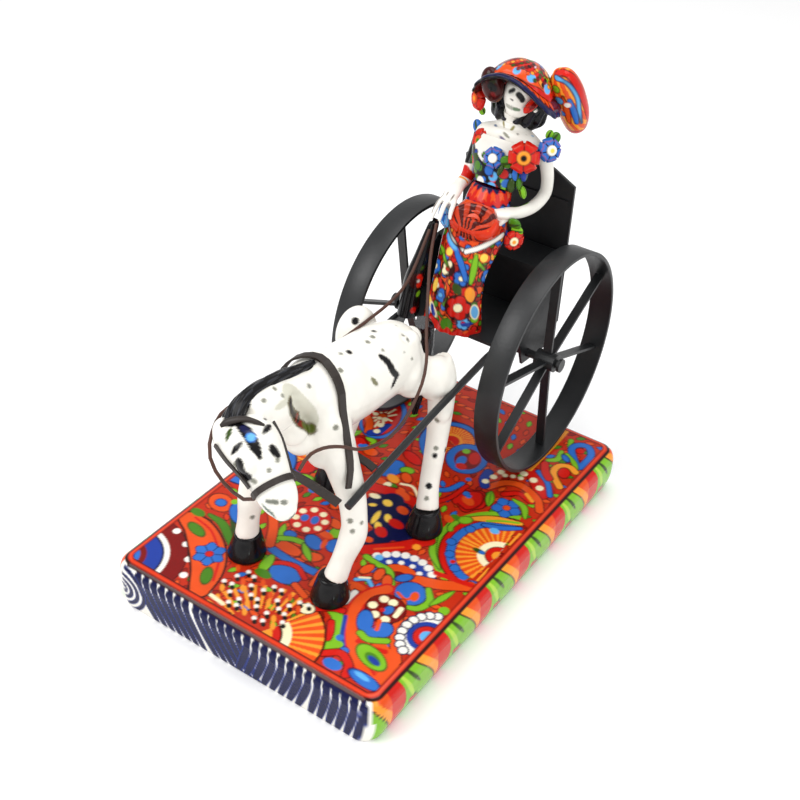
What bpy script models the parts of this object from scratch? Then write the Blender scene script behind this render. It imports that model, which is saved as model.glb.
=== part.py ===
"""Glazed ceramic catrina driving a wrought-iron horse cart on a painted slab.

The frame: X to the figure's own left, Y towards the back of the cart, Z up.
The origin is on the surface the slab stands on, under the middle of the
whole object.  The horse faces -Y.  The places below are in millimetres from
the middle of the slab's underside; FROM_SLAB moves them to the frame, and MM
turns them into metres.  Pieces that touch keep GAP between them.
"""
import math

import bmesh
import bpy
from mathutils import Vector

MM = 0.001
FROM_SLAB = Vector((0.0, -13.0, 0.0))
GAP = 0.35

# ---------------------------------------------------------------- dimensions
BASE_WIDTH = 300.0
BASE_LENGTH = 442.0
BASE_HEIGHT = 50.0
BASE_WALL = 14.0
BASE_CORNER = 18.0
HOOF_TOP = 74.0

WHEEL_RADIUS = 115.0
WHEEL_Y = 155.0
AXLE_Z = BASE_HEIGHT + WHEEL_RADIUS + 1.0
WHEEL_X = 83.0
RIM_WIDTH = 25.0
RIM_THICK = 4.0
SPOKE_WIDTH = 9.0
SPOKE_THICK = 3.0
HUB_RADIUS = 9.0
HUB_LENGTH = 21.0
AXLE_RADIUS = 4.0
AXLE_RUNNING_GAP = 0.5
NEAR_SPOKES = (90.0, 28.0, -20.0, -85.0, -146.0, 166.0)
FAR_SPOKES = (101.0, 38.0, -8.0, -68.0, -133.0, 152.0)

CART_HALF = 58.0
SHEET = 3.0
FLOOR_Z = 199.0
FLOOR_FRONT = 97.0
CART_BACK = 213.0
SEAT_Z = 254.0
SEAT_FRONT = 172.0
BACK_TOP_Z = 323.0
BACK_PEAK_Z = 341.0
SHAFT_X = 54.0
SHAFT_SIZE = 7.0

LEFT, RIGHT = 1.0, -1.0
ACROSS_X = Vector((1.0, 0.0, 0.0))
HEAD_TURN = math.radians(71.0)
ACROSS_HEAD = Vector((math.cos(HEAD_TURN), math.sin(HEAD_TURN), 0.0))


# ------------------------------------------------------------------ helpers
def clear_scene():
    """Remove every object, so that the part stands alone."""
    for thing in list(bpy.data.objects):
        bpy.data.objects.remove(thing, do_unlink=True)


def material(name, colour, roughness, metallic=0.0):
    """Return the Principled material of this name, made once."""
    found = bpy.data.materials.get(name)
    if found:
        return found
    made = bpy.data.materials.new(name)
    made.use_nodes = True
    shader = made.node_tree.nodes["Principled BSDF"]
    shader.inputs["Base Color"].default_value = (*colour, 1.0)
    shader.inputs["Roughness"].default_value = roughness
    shader.inputs["Metallic"].default_value = metallic
    made.diffuse_color = (*colour, 1.0)
    return made


def white_glaze():
    return material("white_glaze", (0.90, 0.89, 0.86), 0.15)


def black_glaze():
    return material("black_glaze", (0.015, 0.015, 0.018), 0.18)


def floral_glaze():
    return material("floral_glaze", (0.80, 0.16, 0.04), 0.18)


def red_glaze():
    return material("red_glaze", (0.75, 0.05, 0.02), 0.18)


def blue_glaze():
    return material("blue_glaze", (0.05, 0.17, 0.62), 0.18)


def iron():
    return material("painted_iron", (0.030, 0.034, 0.038), 0.38)


def leather():
    return material("dark_leather", (0.035, 0.028, 0.022), 0.55)


def cord_brown():
    return material("brown_cord", (0.13, 0.055, 0.03), 0.60)


def make_object(name, mesh_builder, finish, smooth_angle=40.0):
    """Turn a bmesh in millimetres into a named object in metres."""
    bmesh.ops.translate(mesh_builder, vec=FROM_SLAB, verts=mesh_builder.verts)
    bmesh.ops.scale(mesh_builder, vec=(MM, MM, MM), verts=mesh_builder.verts)
    bmesh.ops.recalc_face_normals(mesh_builder, faces=mesh_builder.faces)
    mesh = bpy.data.meshes.new(name)
    mesh_builder.to_mesh(mesh)
    mesh_builder.free()
    mesh.shade_smooth()
    mesh.set_sharp_from_angle(angle=math.radians(smooth_angle))
    mesh.materials.append(finish)
    made = bpy.data.objects.new(name, mesh)
    bpy.context.collection.objects.link(made)
    return made


def hide_cutter(cutter):
    """Mark an object as a tool that shapes others and isn't a piece."""
    cutter.hide_render = True
    cutter.display_type = "WIRE"
    cutter.hide_set(True)


def combine(target, tool, operation):
    """Add an exact Boolean of this kind to the target."""
    step = target.modifiers.new(operation.lower(), "BOOLEAN")
    step.operation = operation
    step.object = tool
    step.solver = "EXACT"
    hide_cutter(tool)


def box_mesh(low, high):
    """A box between two corners."""
    builder = bmesh.new()
    bmesh.ops.create_cube(builder, size=1.0)
    for vert in builder.verts:
        for axis in range(3):
            middle = (low[axis] + high[axis]) / 2.0
            vert.co[axis] = middle + vert.co[axis] * (high[axis] - low[axis])
    return builder


def box(name, low, high, finish):
    return make_object(name, box_mesh(low, high), finish)


def plate_yz(name, outline, x_low, x_high, finish):
    """A flat plate: an outline in Y and Z, extruded along X."""
    builder = bmesh.new()
    corners = [builder.verts.new((x_low, y, z)) for y, z in outline]
    face = builder.faces.new(corners)
    moved = bmesh.ops.extrude_face_region(builder, geom=[face])["geom"]
    verts = [item for item in moved if isinstance(item, bmesh.types.BMVert)]
    bmesh.ops.translate(builder, verts=verts, vec=(x_high - x_low, 0.0, 0.0))
    return make_object(name, builder, finish)


def ring_frame(centres, index, across):
    """Side and up vectors of the section at this place on a path."""
    before = centres[max(index - 1, 0)]
    after = centres[min(index + 1, len(centres) - 1)]
    along = (after - before).normalized()
    side = (across - along * across.dot(along)).normalized()
    return side, side.cross(along).normalized(), along


def loft_mesh(sections, sides=14, across=ACROSS_X, grow=0.0):
    """Skin a row of elliptical sections, each (centre, half side, half up)."""
    builder = bmesh.new()
    centres = [Vector(section[0]) for section in sections]
    rings = []
    for index, (centre, half_side, half_up) in enumerate(sections):
        side, up, along = ring_frame(centres, index, across)
        reach = 0.0
        if index == 0:
            reach = -grow
        elif index == len(sections) - 1:
            reach = grow
        middle = Vector(centre) + along * reach
        ring = []
        for step in range(sides):
            angle = 2.0 * math.pi * (step + 0.5) / sides
            offset = side * (half_side + grow) * math.cos(angle)
            offset += up * (half_up + grow) * math.sin(angle)
            ring.append(builder.verts.new(middle + offset))
        rings.append(ring)
    for lower, upper in zip(rings, rings[1:]):
        for step in range(sides):
            follow = (step + 1) % sides
            builder.faces.new((lower[step], lower[follow], upper[follow], upper[step]))
    builder.faces.new(list(reversed(rings[0])))
    builder.faces.new(rings[-1])
    return builder


def loft(name, sections, finish, sides=14, across=ACROSS_X):
    return make_object(name, loft_mesh(sections, sides, across), finish)


def cut_loft(target, sections, sides=14, across=ACROSS_X, gap=GAP):
    """Cut a neighbour's lofted shape, and its gap, out of the target."""
    builder = loft_mesh(sections, sides, across, gap)
    tool = make_object(target.name + "_cutter", builder, white_glaze())
    combine(target, tool, "DIFFERENCE")


def cut_box(target, low, high):
    tool = make_object(target.name + "_cutter", box_mesh(low, high), white_glaze())
    combine(target, tool, "DIFFERENCE")


def ball_sections(centre, radii, along="z", rows=6):
    """Sections of an ellipsoid with flattened poles."""
    axis = "xyz".index(along)
    half_side = radii[1] if axis == 0 else radii[0]
    half_up = radii[1] if axis == 2 else radii[2]
    result = []
    for row in range(rows + 1):
        angle = math.pi * (0.06 + 0.88 * row / rows)
        middle = list(centre)
        middle[axis] -= radii[axis] * math.cos(angle)
        result.append((middle, half_side * math.sin(angle), half_up * math.sin(angle)))
    return result


def tube_mesh(centre, outer, inner, x_low, x_high, sides):
    """A ring about an axis along X, closed on every side."""
    builder = bmesh.new()
    loops = []
    for radius, x in ((outer, x_low), (outer, x_high), (inner, x_high), (inner, x_low)):
        loop = []
        for step in range(sides):
            angle = 2.0 * math.pi * step / sides
            y = centre[0] + radius * math.cos(angle)
            z = centre[1] + radius * math.sin(angle)
            loop.append(builder.verts.new((x, y, z)))
        loops.append(loop)
    for index, loop in enumerate(loops):
        other = loops[(index + 1) % 4]
        for step in range(sides):
            follow = (step + 1) % sides
            builder.faces.new((loop[step], loop[follow], other[follow], other[step]))
    return builder


def disc_x(name, centre, radius, x_low, x_high, finish, sides=20):
    """A short round bar along X."""
    builder = bmesh.new()
    ends = []
    for x in (x_low, x_high):
        ring = []
        for step in range(sides):
            angle = 2.0 * math.pi * step / sides
            y = centre[0] + radius * math.cos(angle)
            z = centre[1] + radius * math.sin(angle)
            ring.append(builder.verts.new((x, y, z)))
        ends.append(ring)
    for step in range(sides):
        follow = (step + 1) % sides
        builder.faces.new((ends[0][step], ends[0][follow], ends[1][follow], ends[1][step]))
    builder.faces.new(list(reversed(ends[0])))
    builder.faces.new(ends[1])
    return make_object(name, builder, finish)


def smooth_points(route, count):
    """Points spread evenly along a smooth curve through the route."""
    knots = [Vector(point) for point in route]
    padded = [knots[0] * 2.0 - knots[1]] + knots + [knots[-1] * 2.0 - knots[-2]]
    dense = []
    for index in range(1, len(padded) - 2):
        p0, p1, p2, p3 = padded[index - 1:index + 3]
        for step in range(20):
            t = step / 20.0
            dense.append(0.5 * (2.0 * p1 + (p2 - p0) * t
                                + (2.0 * p0 - 5.0 * p1 + 4.0 * p2 - p3) * t * t
                                + (3.0 * p1 - p0 - 3.0 * p2 + p3) * t * t * t))
    dense.append(knots[-1])
    lengths = [0.0]
    for start, end in zip(dense, dense[1:]):
        lengths.append(lengths[-1] + (end - start).length)
    spread = []
    place = 0
    for index in range(count):
        wanted = lengths[-1] * index / (count - 1)
        while place < len(dense) - 2 and lengths[place + 1] < wanted:
            place += 1
        share = (wanted - lengths[place]) / (lengths[place + 1] - lengths[place])
        spread.append(dense[place].lerp(dense[place + 1], share))
    return spread


def strap_mesh(route, width, thick, outward, count, grow=0.0):
    """A flat band along a smooth route; outward gives its face direction."""
    points = smooth_points(route, count)
    builder = bmesh.new()
    rings = []
    for index, point in enumerate(points):
        before = points[max(index - 1, 0)]
        after = points[min(index + 1, count - 1)]
        along = (after - before).normalized()
        face = outward(point)
        face = (face - along * face.dot(along)).normalized()
        edge = along.cross(face)
        reach = grow * ((index == count - 1) - (index == 0))
        ring = []
        for side, level in ((-1, -grow), (1, -grow), (1, thick + grow), (-1, thick + grow)):
            place = point + along * reach + edge * side * (width / 2.0 + grow) + face * level
            ring.append(builder.verts.new(place))
        rings.append(ring)
    for lower, upper in zip(rings, rings[1:]):
        for step in range(4):
            follow = (step + 1) % 4
            builder.faces.new((lower[step], lower[follow], upper[follow], upper[step]))
    builder.faces.new(list(reversed(rings[0])))
    builder.faces.new(rings[-1])
    return builder


def strap(name, route, width, thick, outward, finish, count=16, seats=()):
    """A band that's let into the pieces it lies on, with its gap."""
    made = make_object(name, strap_mesh(route, width, thick, outward, count), finish, 30.0)
    for seat in seats:
        tool = make_object(name + "_cutter",
                           strap_mesh(route, width, thick, outward, count, GAP), finish)
        combine(bpy.data.objects[seat], tool, "DIFFERENCE")
    return made


def cord(name, route, diameter, count, finish):
    """A round cord: a POLY curve with a bevel, through a smooth route."""
    data = bpy.data.curves.new(name, "CURVE")
    data.dimensions = "3D"
    data.bevel_depth = diameter / 2.0 * MM
    data.bevel_resolution = 2
    data.use_fill_caps = True
    line = data.splines.new("POLY")
    points = smooth_points(route, count)
    line.points.add(len(points) - 1)
    for place, point in zip(line.points, points):
        place.co = (*((point + FROM_SLAB) * MM), 1.0)
    data.materials.append(finish)
    made = bpy.data.objects.new(name, data)
    bpy.context.collection.objects.link(made)
    return made


# --------------------------------------------------------------------- base
def rounded_rectangle(half_x, half_y, corner, steps=4):
    """Corner-rounded outline, counter-clockwise from above."""
    points = []
    for quarter, (sx, sy) in enumerate(((1, 1), (-1, 1), (-1, -1), (1, -1))):
        for step in range(steps + 1):
            angle = math.pi / 2.0 * (quarter + step / steps)
            x = sx * (half_x - corner) + corner * math.cos(angle)
            y = sy * (half_y - corner) + corner * math.sin(angle)
            points.append((x, y))
    return points


def build_base():
    """Hollow slab, open underneath, with softly rounded top edges."""
    profile = ((0.0, 3.0), (4.0, 0.5), (10.0, 0.0), (37.0, 0.0),
               (43.0, 1.6), (47.0, 4.6), (49.3, 8.4), (BASE_HEIGHT, 12.5))
    builder = bmesh.new()
    rings = []
    for height, inset in profile:
        outline = rounded_rectangle(BASE_WIDTH / 2 - inset, BASE_LENGTH / 2 - inset,
                                    BASE_CORNER - inset * 0.6)
        rings.append([builder.verts.new((x, y, height)) for x, y in outline])
    count = len(rings[0])
    for lower, upper in zip(rings, rings[1:]):
        for step in range(count):
            follow = (step + 1) % count
            builder.faces.new((lower[step], lower[follow], upper[follow], upper[step]))
    builder.faces.new(list(reversed(rings[0])))
    builder.faces.new(rings[-1])
    slab = make_object("base_slab", builder, floral_glaze(), 20.0)
    inner_x = BASE_WIDTH / 2 - BASE_WALL
    inner_y = BASE_LENGTH / 2 - BASE_WALL
    cut_box(slab, (-inner_x, -inner_y, -5.0), (inner_x, inner_y, BASE_HEIGHT - BASE_WALL))


# -------------------------------------------------------------------- horse
TORSO = (
    ((-6, -131, 247), 9, 10), ((-6, -127, 246), 19, 19), ((-5, -119, 242), 27, 27),
    ((-4, -106, 236), 33, 34), ((-3, -88, 230), 34, 38), ((-2, -62, 225), 33, 38),
    ((-1, -30, 223), 33, 36), ((0, 0, 222), 34, 35), ((1, 20, 219), 32, 32),
    ((2, 34, 214), 24, 24), ((2, 41, 211), 12, 12),
)
NECK = (
    ((-6, -114, 242), 20, 23), ((-6, -128, 246), 20, 23), ((-6, -146, 250), 19, 23),
    ((-5, -166, 254), 19, 24), ((-3, -184, 257), 18, 23), ((0, -198, 260), 16, 19),
)
HEAD = (
    ((-5, -205, 274), 12, 6), ((0, -209, 272), 21, 14), ((11, -213, 267), 25, 19),
    ((24, -217, 260), 24, 20), ((37, -221, 252), 20, 18), ((48, -225, 244), 17, 15),
    ((57, -228, 237), 16, 14), ((64, -230, 230), 12, 10), ((68, -231, 226), 6, 5),
)
LEG_PATHS = {
    "horse_leg_front_left": (((16, -110, 238), 12, 15), ((22, -111, 214), 14, 17),
                             ((30, -112, 186), 14, 17), ((42, -112, 152), 12, 14),
                             ((48, -115, 128), 11, 13), ((49, -118, 114), 12, 13),
                             ((46, -128, 92), 10, 11), ((43, -135, 74), 11, 12)),
    "horse_leg_front_right": (((-22, -112, 238), 12, 15), ((-30, -116, 212), 14, 17),
                              ((-37, -122, 186), 14, 17), ((-49, -129, 152), 12, 14),
                              ((-53, -132, 128), 11, 13), ((-54, -133, 114), 12, 13),
                              ((-55, -136, 92), 10, 11), ((-56, -138, 74), 11, 12)),
    "horse_leg_rear_left": (((39, 30, 196), 14, 20), ((41, 30, 172), 13, 17),
                            ((42, 26, 150), 12, 14), ((45, 18, 128), 11, 13),
                            ((51, 2, 96), 10, 11), ((57, -9, 74), 11, 12)),
    "horse_leg_rear_right": (((-37, 8, 206), 14, 20), ((-40, 12, 178), 13, 17),
                             ((-44, 12, 150), 12, 14), ((-47, 8, 128), 11, 13),
                             ((-51, -2, 96), 10, 11), ((-54, -9, 74), 11, 12)),
}
HOOF_PLACES = {
    "hoof_front_left": (40, -138), "hoof_front_right": (-56, -139),
    "hoof_rear_left": (57, -12), "hoof_rear_right": (-54, -12),
}
HIPS = {
    "left": ((36, 24, 205), (17, 23, 27)),
    "right": ((-36, -1, 229), (17, 23, 28)),
}
TAIL_ROOT = ((6, 33, 228), (11, 13, 14))


def union_loft(target, sections, sides=12):
    tool = make_object(target.name + "_part", loft_mesh(sections, sides), white_glaze())
    combine(target, tool, "UNION")


def build_horse_body():
    """Torso with its two raised hips, and the neck that meets it."""
    torso = loft("horse_torso", TORSO, white_glaze(), 16)
    for centre, radii in (*HIPS.values(), TAIL_ROOT):
        union_loft(torso, ball_sections(centre, radii))
    neck = loft("horse_neck", NECK, white_glaze())
    cut_loft(neck, TORSO, 16)
    cut_loft(neck, HEAD, 14, ACROSS_HEAD)
    loft("horse_head", HEAD, white_glaze(), 14, ACROSS_HEAD)


def build_mane():
    """Raised black mane along the crest, from the poll to the withers."""
    sections = (((-6, -104, 266), 4, 4), ((-6, -124, 268), 6, 6), ((-7, -144, 272), 7, 7),
                ((-7, -166, 277), 8, 8), ((-6, -184, 281), 9, 8), ((-5, -197, 282), 9, 8),
                ((-6, -207, 281), 7, 6))
    mane = loft("horse_mane", sections, black_glaze(), 10)
    cut_loft(mane, NECK)
    cut_loft(mane, TORSO, 16)
    cut_loft(mane, HEAD, 14, ACROSS_HEAD)


def build_tail():
    """Short tail that hangs close behind the rump."""
    sections = (((6, 43, 236), 7, 6), ((5, 51, 228), 8, 7), ((4, 54, 212), 8, 8),
                ((3, 55, 190), 8, 9), ((2, 53, 165), 7, 8), ((1, 50, 142), 5, 6),
                ((1, 48, 126), 2, 3))
    tail = loft("horse_tail", sections, white_glaze(), 10)
    cut_loft(tail, TORSO, 16)
    for centre, radii in (*HIPS.values(), TAIL_ROOT):
        cut_loft(tail, ball_sections(centre, radii), 12)


def build_legs():
    for name, sections in LEG_PATHS.items():
        leg = loft(name, sections, white_glaze(), 12)
        cut_loft(leg, TORSO, 16)
        cut_box(leg, (-90, -200, 30), (90, 100, HOOF_TOP + GAP))
        for x in (SHAFT_X, -SHAFT_X):
            cut_loft(leg, shaft_sections(x), 8)
        if "rear" in name:
            for centre, radii in HIPS.values():
                cut_loft(leg, ball_sections(centre, radii), 12)


def build_hooves():
    """Black hooves: a flared block with a sloping front."""
    bottom = BASE_HEIGHT + GAP
    for name, (x, y) in HOOF_PLACES.items():
        rows = ((bottom, -2, 18, 19), (bottom + 9, -1, 17, 18),
                (HOOF_TOP - 7, 0, 14, 15), (HOOF_TOP, 0, 12, 13))
        builder = bmesh.new()
        loops = []
        for z, shift, half_x, half_y in rows:
            loops.append([builder.verts.new((x + half_x * math.cos(2 * math.pi * k / 16),
                                             y + shift + half_y * math.sin(2 * math.pi * k / 16),
                                             z)) for k in range(16)])
        for lower, upper in zip(loops, loops[1:]):
            for k in range(16):
                follow = (k + 1) % 16
                builder.faces.new((lower[k], lower[follow], upper[follow], upper[k]))
        builder.faces.new(list(reversed(loops[0])))
        builder.faces.new(loops[-1])
        make_object(name, builder, black_glaze())


# ------------------------------------------------------------------ harness
OVER_NEAR = ((-4, -99, 269.3), (12.6, -103, 265.2), (24.1, -107, 253.4), (28.5, -110, 238),
             (32.3, -112, 225), (36.3, -113.5, 211), (43.5, -118, 188), (47.5, -126, 172))
OVER_FAR = ((-48.5, -126, 172), (-50, -118, 190), (-44.3, -114, 211), (-40.3, -112, 225),
            (-36.5, -110, 238), (-32.1, -107, 253.4), (-20.6, -103, 265.2))
FRONT_LEGS = ("horse_leg_front_left", "horse_leg_front_right")


def from_torso(point):
    """Outward direction of a strap that lies on the body."""
    return Vector((point.x + 4.0, 0.0, max(point.z, 236.0) - 236.0 + 0.01))


def build_body_straps():
    """Strap over the withers, breast strap and girth, shaft to shaft."""
    strap("back_strap", OVER_FAR + OVER_NEAR, 8.0, 2.0, from_torso, leather(), 33,
          ("horse_mane", "horse_torso", "horse_neck", *FRONT_LEGS))
    breast = ((48, -139, 165), (38, -146, 176), (22, -152, 186), (-4, -155, 190),
              (-28, -152, 186), (-42, -146, 176), (-48, -139, 165))
    strap("breast_strap", breast, 8.0, 2.0,
          lambda point: Vector((point.x + 4.0, point.y + 110.0, 0.0)), leather(), 19, FRONT_LEGS)
    belly = ((48, -86, 168), (34, -86, 172), (-2, -86, 175), (-36, -86, 172), (-48, -86, 168))
    strap("girth_strap", belly, 8.0, 2.0,
          lambda point: Vector((point.x * 0.2, 0.0, -30.0)), leather(), 13)


def head_point(share, around, clear):
    """A place round the head: share along it, angle about its axis."""
    scaled = share * (len(HEAD) - 1)
    index = min(int(scaled), len(HEAD) - 2)
    part = scaled - index
    centre = Vector(HEAD[index][0]).lerp(Vector(HEAD[index + 1][0]), part)
    half_side = HEAD[index][1] * (1 - part) + HEAD[index + 1][1] * part + clear
    half_up = HEAD[index][2] * (1 - part) + HEAD[index + 1][2] * part + clear
    along = (Vector(HEAD[-2][0]) - Vector(HEAD[1][0])).normalized()
    up = ACROSS_HEAD.cross(along).normalized()
    if up.z < 0:
        up = -up
    return centre + ACROSS_HEAD * half_side * math.cos(around) + up * half_up * math.sin(around)


def head_axis_point(share):
    return head_point(share, 0.0, 0.0) * 0.5 + head_point(share, math.pi, 0.0) * 0.5


def build_bridle():
    """Browband, noseband and two cheek straps round the head."""
    head = ("horse_head", "horse_neck", "horse_mane")
    for name, share in (("browband", 0.20), ("noseband", 0.66)):
        route = [head_point(share, math.radians(-20 + 220 * k / 10), 0.2) for k in range(11)]
        centre = head_axis_point(share)
        strap(name, route, 5.0, 1.6, lambda point, c=centre: point - c, leather(), 17, head)
    for name, around in (("cheek_strap_left", 4.0), ("cheek_strap_right", 176.0)):
        route = [head_point(0.255 + 0.345 * k / 5, math.radians(around), 0.2)
                 for k in range(6)]
        strap(name, route, 4.0, 1.6,
              lambda point, s=math.copysign(1.0, 90 - around): ACROSS_HEAD * s,
              leather(), 9, head)


REIN_DIAMETER = 3.0
REIN_LEFT = ((58, -204, 248), (56, -193, 251), (54, -180, 249), (52, -160, 240),
             (51, -138, 226), (49, -115, 208), (48, -90, 195), (48, -65, 190), (48, -45, 194),
             (46, -25, 204), (43, -8, 217), (37, 5, 232), (29, 15, 244), (19, 30, 254),
             (5, 52, 265), (-10, 76, 277), (-20, 95, 288), (-27, 111, 298))
REIN_RIGHT = ((40, -248.5, 243.5), (28, -249.5, 248.5), (16, -248.5, 254), (3, -244.5, 260),
              (-9, -236, 265), (-18, -222, 268), (-23, -204, 268), (-26, -182, 264),
              (-28, -160, 260), (-29, -136, 261), (-30, -112, 264), (-25, -92, 266),
              (-21, -68, 263), (-20, -40, 259.5), (-20, -15, 258), (-20, 10, 257.5),
              (-22, 35, 259), (-25, 60, 265), (-28, 84, 278), (-30, 108, 296))


def build_reins():
    cord("rein_left", REIN_LEFT, REIN_DIAMETER, 60, cord_brown())
    cord("rein_right", REIN_RIGHT, REIN_DIAMETER, 70, cord_brown())


# --------------------------------------------------------------------- cart
def build_wheel(side, label, spoke_angles):
    """Rim strap, and the spoked hub that turns on the axle."""
    middle = side * WHEEL_X
    centre = (WHEEL_Y, AXLE_Z)
    rim = tube_mesh(centre, WHEEL_RADIUS, WHEEL_RADIUS - RIM_THICK,
                    middle - RIM_WIDTH / 2, middle + RIM_WIDTH / 2, 64)
    make_object("wheel_rim_" + label, rim, iron(), 25.0)
    hub = tube_mesh(centre, HUB_RADIUS, AXLE_RADIUS + AXLE_RUNNING_GAP,
                    middle - HUB_LENGTH / 2, middle + HUB_LENGTH / 2, 24)
    spider = make_object("wheel_spokes_" + label, hub, iron(), 25.0)
    inner = HUB_RADIUS - 2.5
    outer = (WHEEL_RADIUS - RIM_THICK) * math.cos(math.pi / 64) - GAP - 0.2
    for degrees in spoke_angles:
        angle = math.radians(degrees)
        builder = box_mesh((middle - SPOKE_WIDTH / 2, inner, -SPOKE_THICK / 2),
                           (middle + SPOKE_WIDTH / 2, outer, SPOKE_THICK / 2))
        for vert in builder.verts:
            y, z = vert.co.y, vert.co.z
            vert.co.y = WHEEL_Y + y * math.cos(angle) - z * math.sin(angle)
            vert.co.z = AXLE_Z + y * math.sin(angle) + z * math.cos(angle)
        spoke = make_object("spoke_bar", builder, iron())
        combine(spider, spoke, "UNION")
    for piece in ("wheel_rim_" + label, "wheel_spokes_" + label):
        set_origin(bpy.data.objects[piece], (middle, WHEEL_Y, AXLE_Z))


def set_origin(thing, place):
    """Move an object's origin to a place given in millimetres."""
    shift = (Vector(place) + FROM_SLAB) * MM
    for vert in thing.data.vertices:
        vert.co -= shift
    thing.location = shift


def build_axle():
    reach = WHEEL_X + HUB_LENGTH / 2 + 3.0
    disc_x("axle", (WHEEL_Y, AXLE_Z), AXLE_RADIUS, -reach, reach, iron(), 16)
    for side, label in ((LEFT, "left"), (RIGHT, "right")):
        inner = side * (reach + GAP)
        outer = side * (reach + GAP + 3.0)
        disc_x("axle_end_" + label, (WHEEL_Y, AXLE_Z), 7.0, min(inner, outer),
               max(inner, outer), iron(), 16)


def build_side_panels():
    """Sheet sides whose lower lobes carry the axle."""
    outline = ((FLOOR_FRONT, FLOOR_Z + 1), (134, 190), (146, 157), (206, 152), (CART_BACK, 170),
               (CART_BACK, SEAT_Z - 1.5), (SEAT_FRONT - 4, SEAT_Z - 1.5), (150, 238), (122, 214),
               (FLOOR_FRONT, 207))
    for side, label in ((LEFT, "left"), (RIGHT, "right")):
        low = min(side * (CART_HALF + GAP), side * (CART_HALF + SHEET))
        high = max(side * (CART_HALF + GAP), side * (CART_HALF + SHEET))
        panel = plate_yz("side_panel_" + label, outline, low, high, iron())
        bore = disc_x("axle_bore_" + label, (WHEEL_Y, AXLE_Z), AXLE_RADIUS + AXLE_RUNNING_GAP,
                      low - 2, high + 2, iron(), 16)
        combine(panel, bore, "DIFFERENCE")


def build_back_panel():
    """Upright back with a raised middle, leaning back a little."""
    half = CART_HALF + SHEET
    outline = ((-half, 172.0), (half, 172.0), (half, BACK_TOP_Z), (half * 0.62, BACK_PEAK_Z - 6),
               (half * 0.3, BACK_PEAK_Z), (-half * 0.3, BACK_PEAK_Z),
               (-half * 0.62, BACK_PEAK_Z - 6), (-half, BACK_TOP_Z))
    builder = bmesh.new()
    front = [builder.verts.new((x, CART_BACK + GAP, z)) for x, z in outline]
    face = builder.faces.new(front)
    moved = bmesh.ops.extrude_face_region(builder, geom=[face])["geom"]
    verts = [item for item in moved if isinstance(item, bmesh.types.BMVert)]
    bmesh.ops.translate(builder, verts=verts, vec=(0.0, SHEET, 0.0))
    make_object("back_panel", builder, iron())
    box("back_slat", (-CART_HALF, CART_BACK - 1.6, 303.0),
        (CART_HALF, CART_BACK, 308.0), iron())


def build_cart_box():
    """Floor, panel under the seat, and the seat board."""
    box("cart_floor", (-CART_HALF, FLOOR_FRONT, FLOOR_Z),
        (CART_HALF, CART_BACK, FLOOR_Z + SHEET), iron())
    box("seat_front_panel", (-CART_HALF, SEAT_FRONT, FLOOR_Z + SHEET + GAP),
        (CART_HALF, SEAT_FRONT + SHEET, SEAT_Z - SHEET - GAP), iron())
    box("seat_board", (-CART_HALF, SEAT_FRONT - 4.0, SEAT_Z - SHEET),
        (CART_HALF, CART_BACK - 2.0, SEAT_Z), iron())


def shaft_sections(x):
    """Sections of the bar on this side, from its tip to under the floor."""
    half = SHAFT_SIZE / 2
    top = FLOOR_Z - GAP - half
    return (((x, -134, 160), half, half), ((x, -90, 168), half, half),
            ((x, 0, 183), half, half), ((x, 85, top - 0.6), half, half),
            ((x, 110, top), half, half), ((x, 138, top), half, half))


def build_shafts():
    """Two bars from under the floor to tips beside the shoulders."""
    loft("shaft_left", shaft_sections(SHAFT_X), iron(), 8)
    loft("shaft_right", shaft_sections(-SHAFT_X), iron(), 8)


# ------------------------------------------------------------------ catrina
SKIRT = (
    ((0, 108, 199), 31, 21), ((0, 109, 212), 30, 20), ((0, 111, 232), 27, 18.5),
    ((0, 117, 256), 26, 18), ((0, 130, 279), 29, 20), ((0, 145, 295), 29, 22),
    ((0, 156, 306), 22, 19),
)
SASH = (
    ((0, 155.5, 309), 22, 18), ((0, 159, 316), 21, 17), ((0, 162, 323), 20, 16),
)
BODICE = (
    ((0, 163, 325.5), 19, 15), ((0, 168, 334), 24, 18), ((0, 174, 345), 30, 21),
    ((0, 180, 356), 33, 20), ((0, 184, 364), 33, 17),
)
CHEST = (
    ((0, 185.5, 366), 37, 15), ((0, 188, 372), 34, 14), ((0, 190, 378), 17, 11),
    ((0, 191, 384), 9, 9), ((0, 189, 393), 8.5, 8.5),
)
SKULL = (
    ((0, 177, 391), 5, 5), ((0, 178, 394), 9, 9.5), ((0, 181, 399), 12.5, 13.5),
    ((0, 184, 405), 15, 16.5), ((0, 186, 412), 15.5, 17.5), ((0, 188, 419), 14, 16),
    ((0, 189, 425), 9, 10),
)
ARM_LEFT = (
    ((40, 186, 362), 8, 8), ((44, 193, 345), 7, 7), ((46, 198, 328), 6.5, 6.5),
    ((44, 196, 315), 6.5, 6.5), ((37, 180, 307), 6, 6), ((30, 164, 306), 6, 5.5),
    ((22, 150, 308), 9, 5), ((15, 141, 310), 7, 4),
)
ARM_RIGHT = (
    ((-34, 186, 362), 8, 8), ((-37, 186, 347), 7, 7), ((-38, 180, 331), 6.5, 6.5),
    ((-36, 168, 321), 6, 6), ((-32, 152, 316), 6, 6), ((-29, 137, 311), 8, 5.5),
    ((-29, 124, 307), 6, 4),
)


FAN = (
    ((0, 134, 296), 24, 15), ((0, 126, 302), 26, 17), ((0, 123, 304.5), 20, 12),
)
TRAIN = (
    ((-36, 120, 290), 4, 8), ((-38, 107, 262), 7, 9), ((-42, 100, 236), 9, 10),
    ((-45, 98, 199), 10, 13),
)


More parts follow.
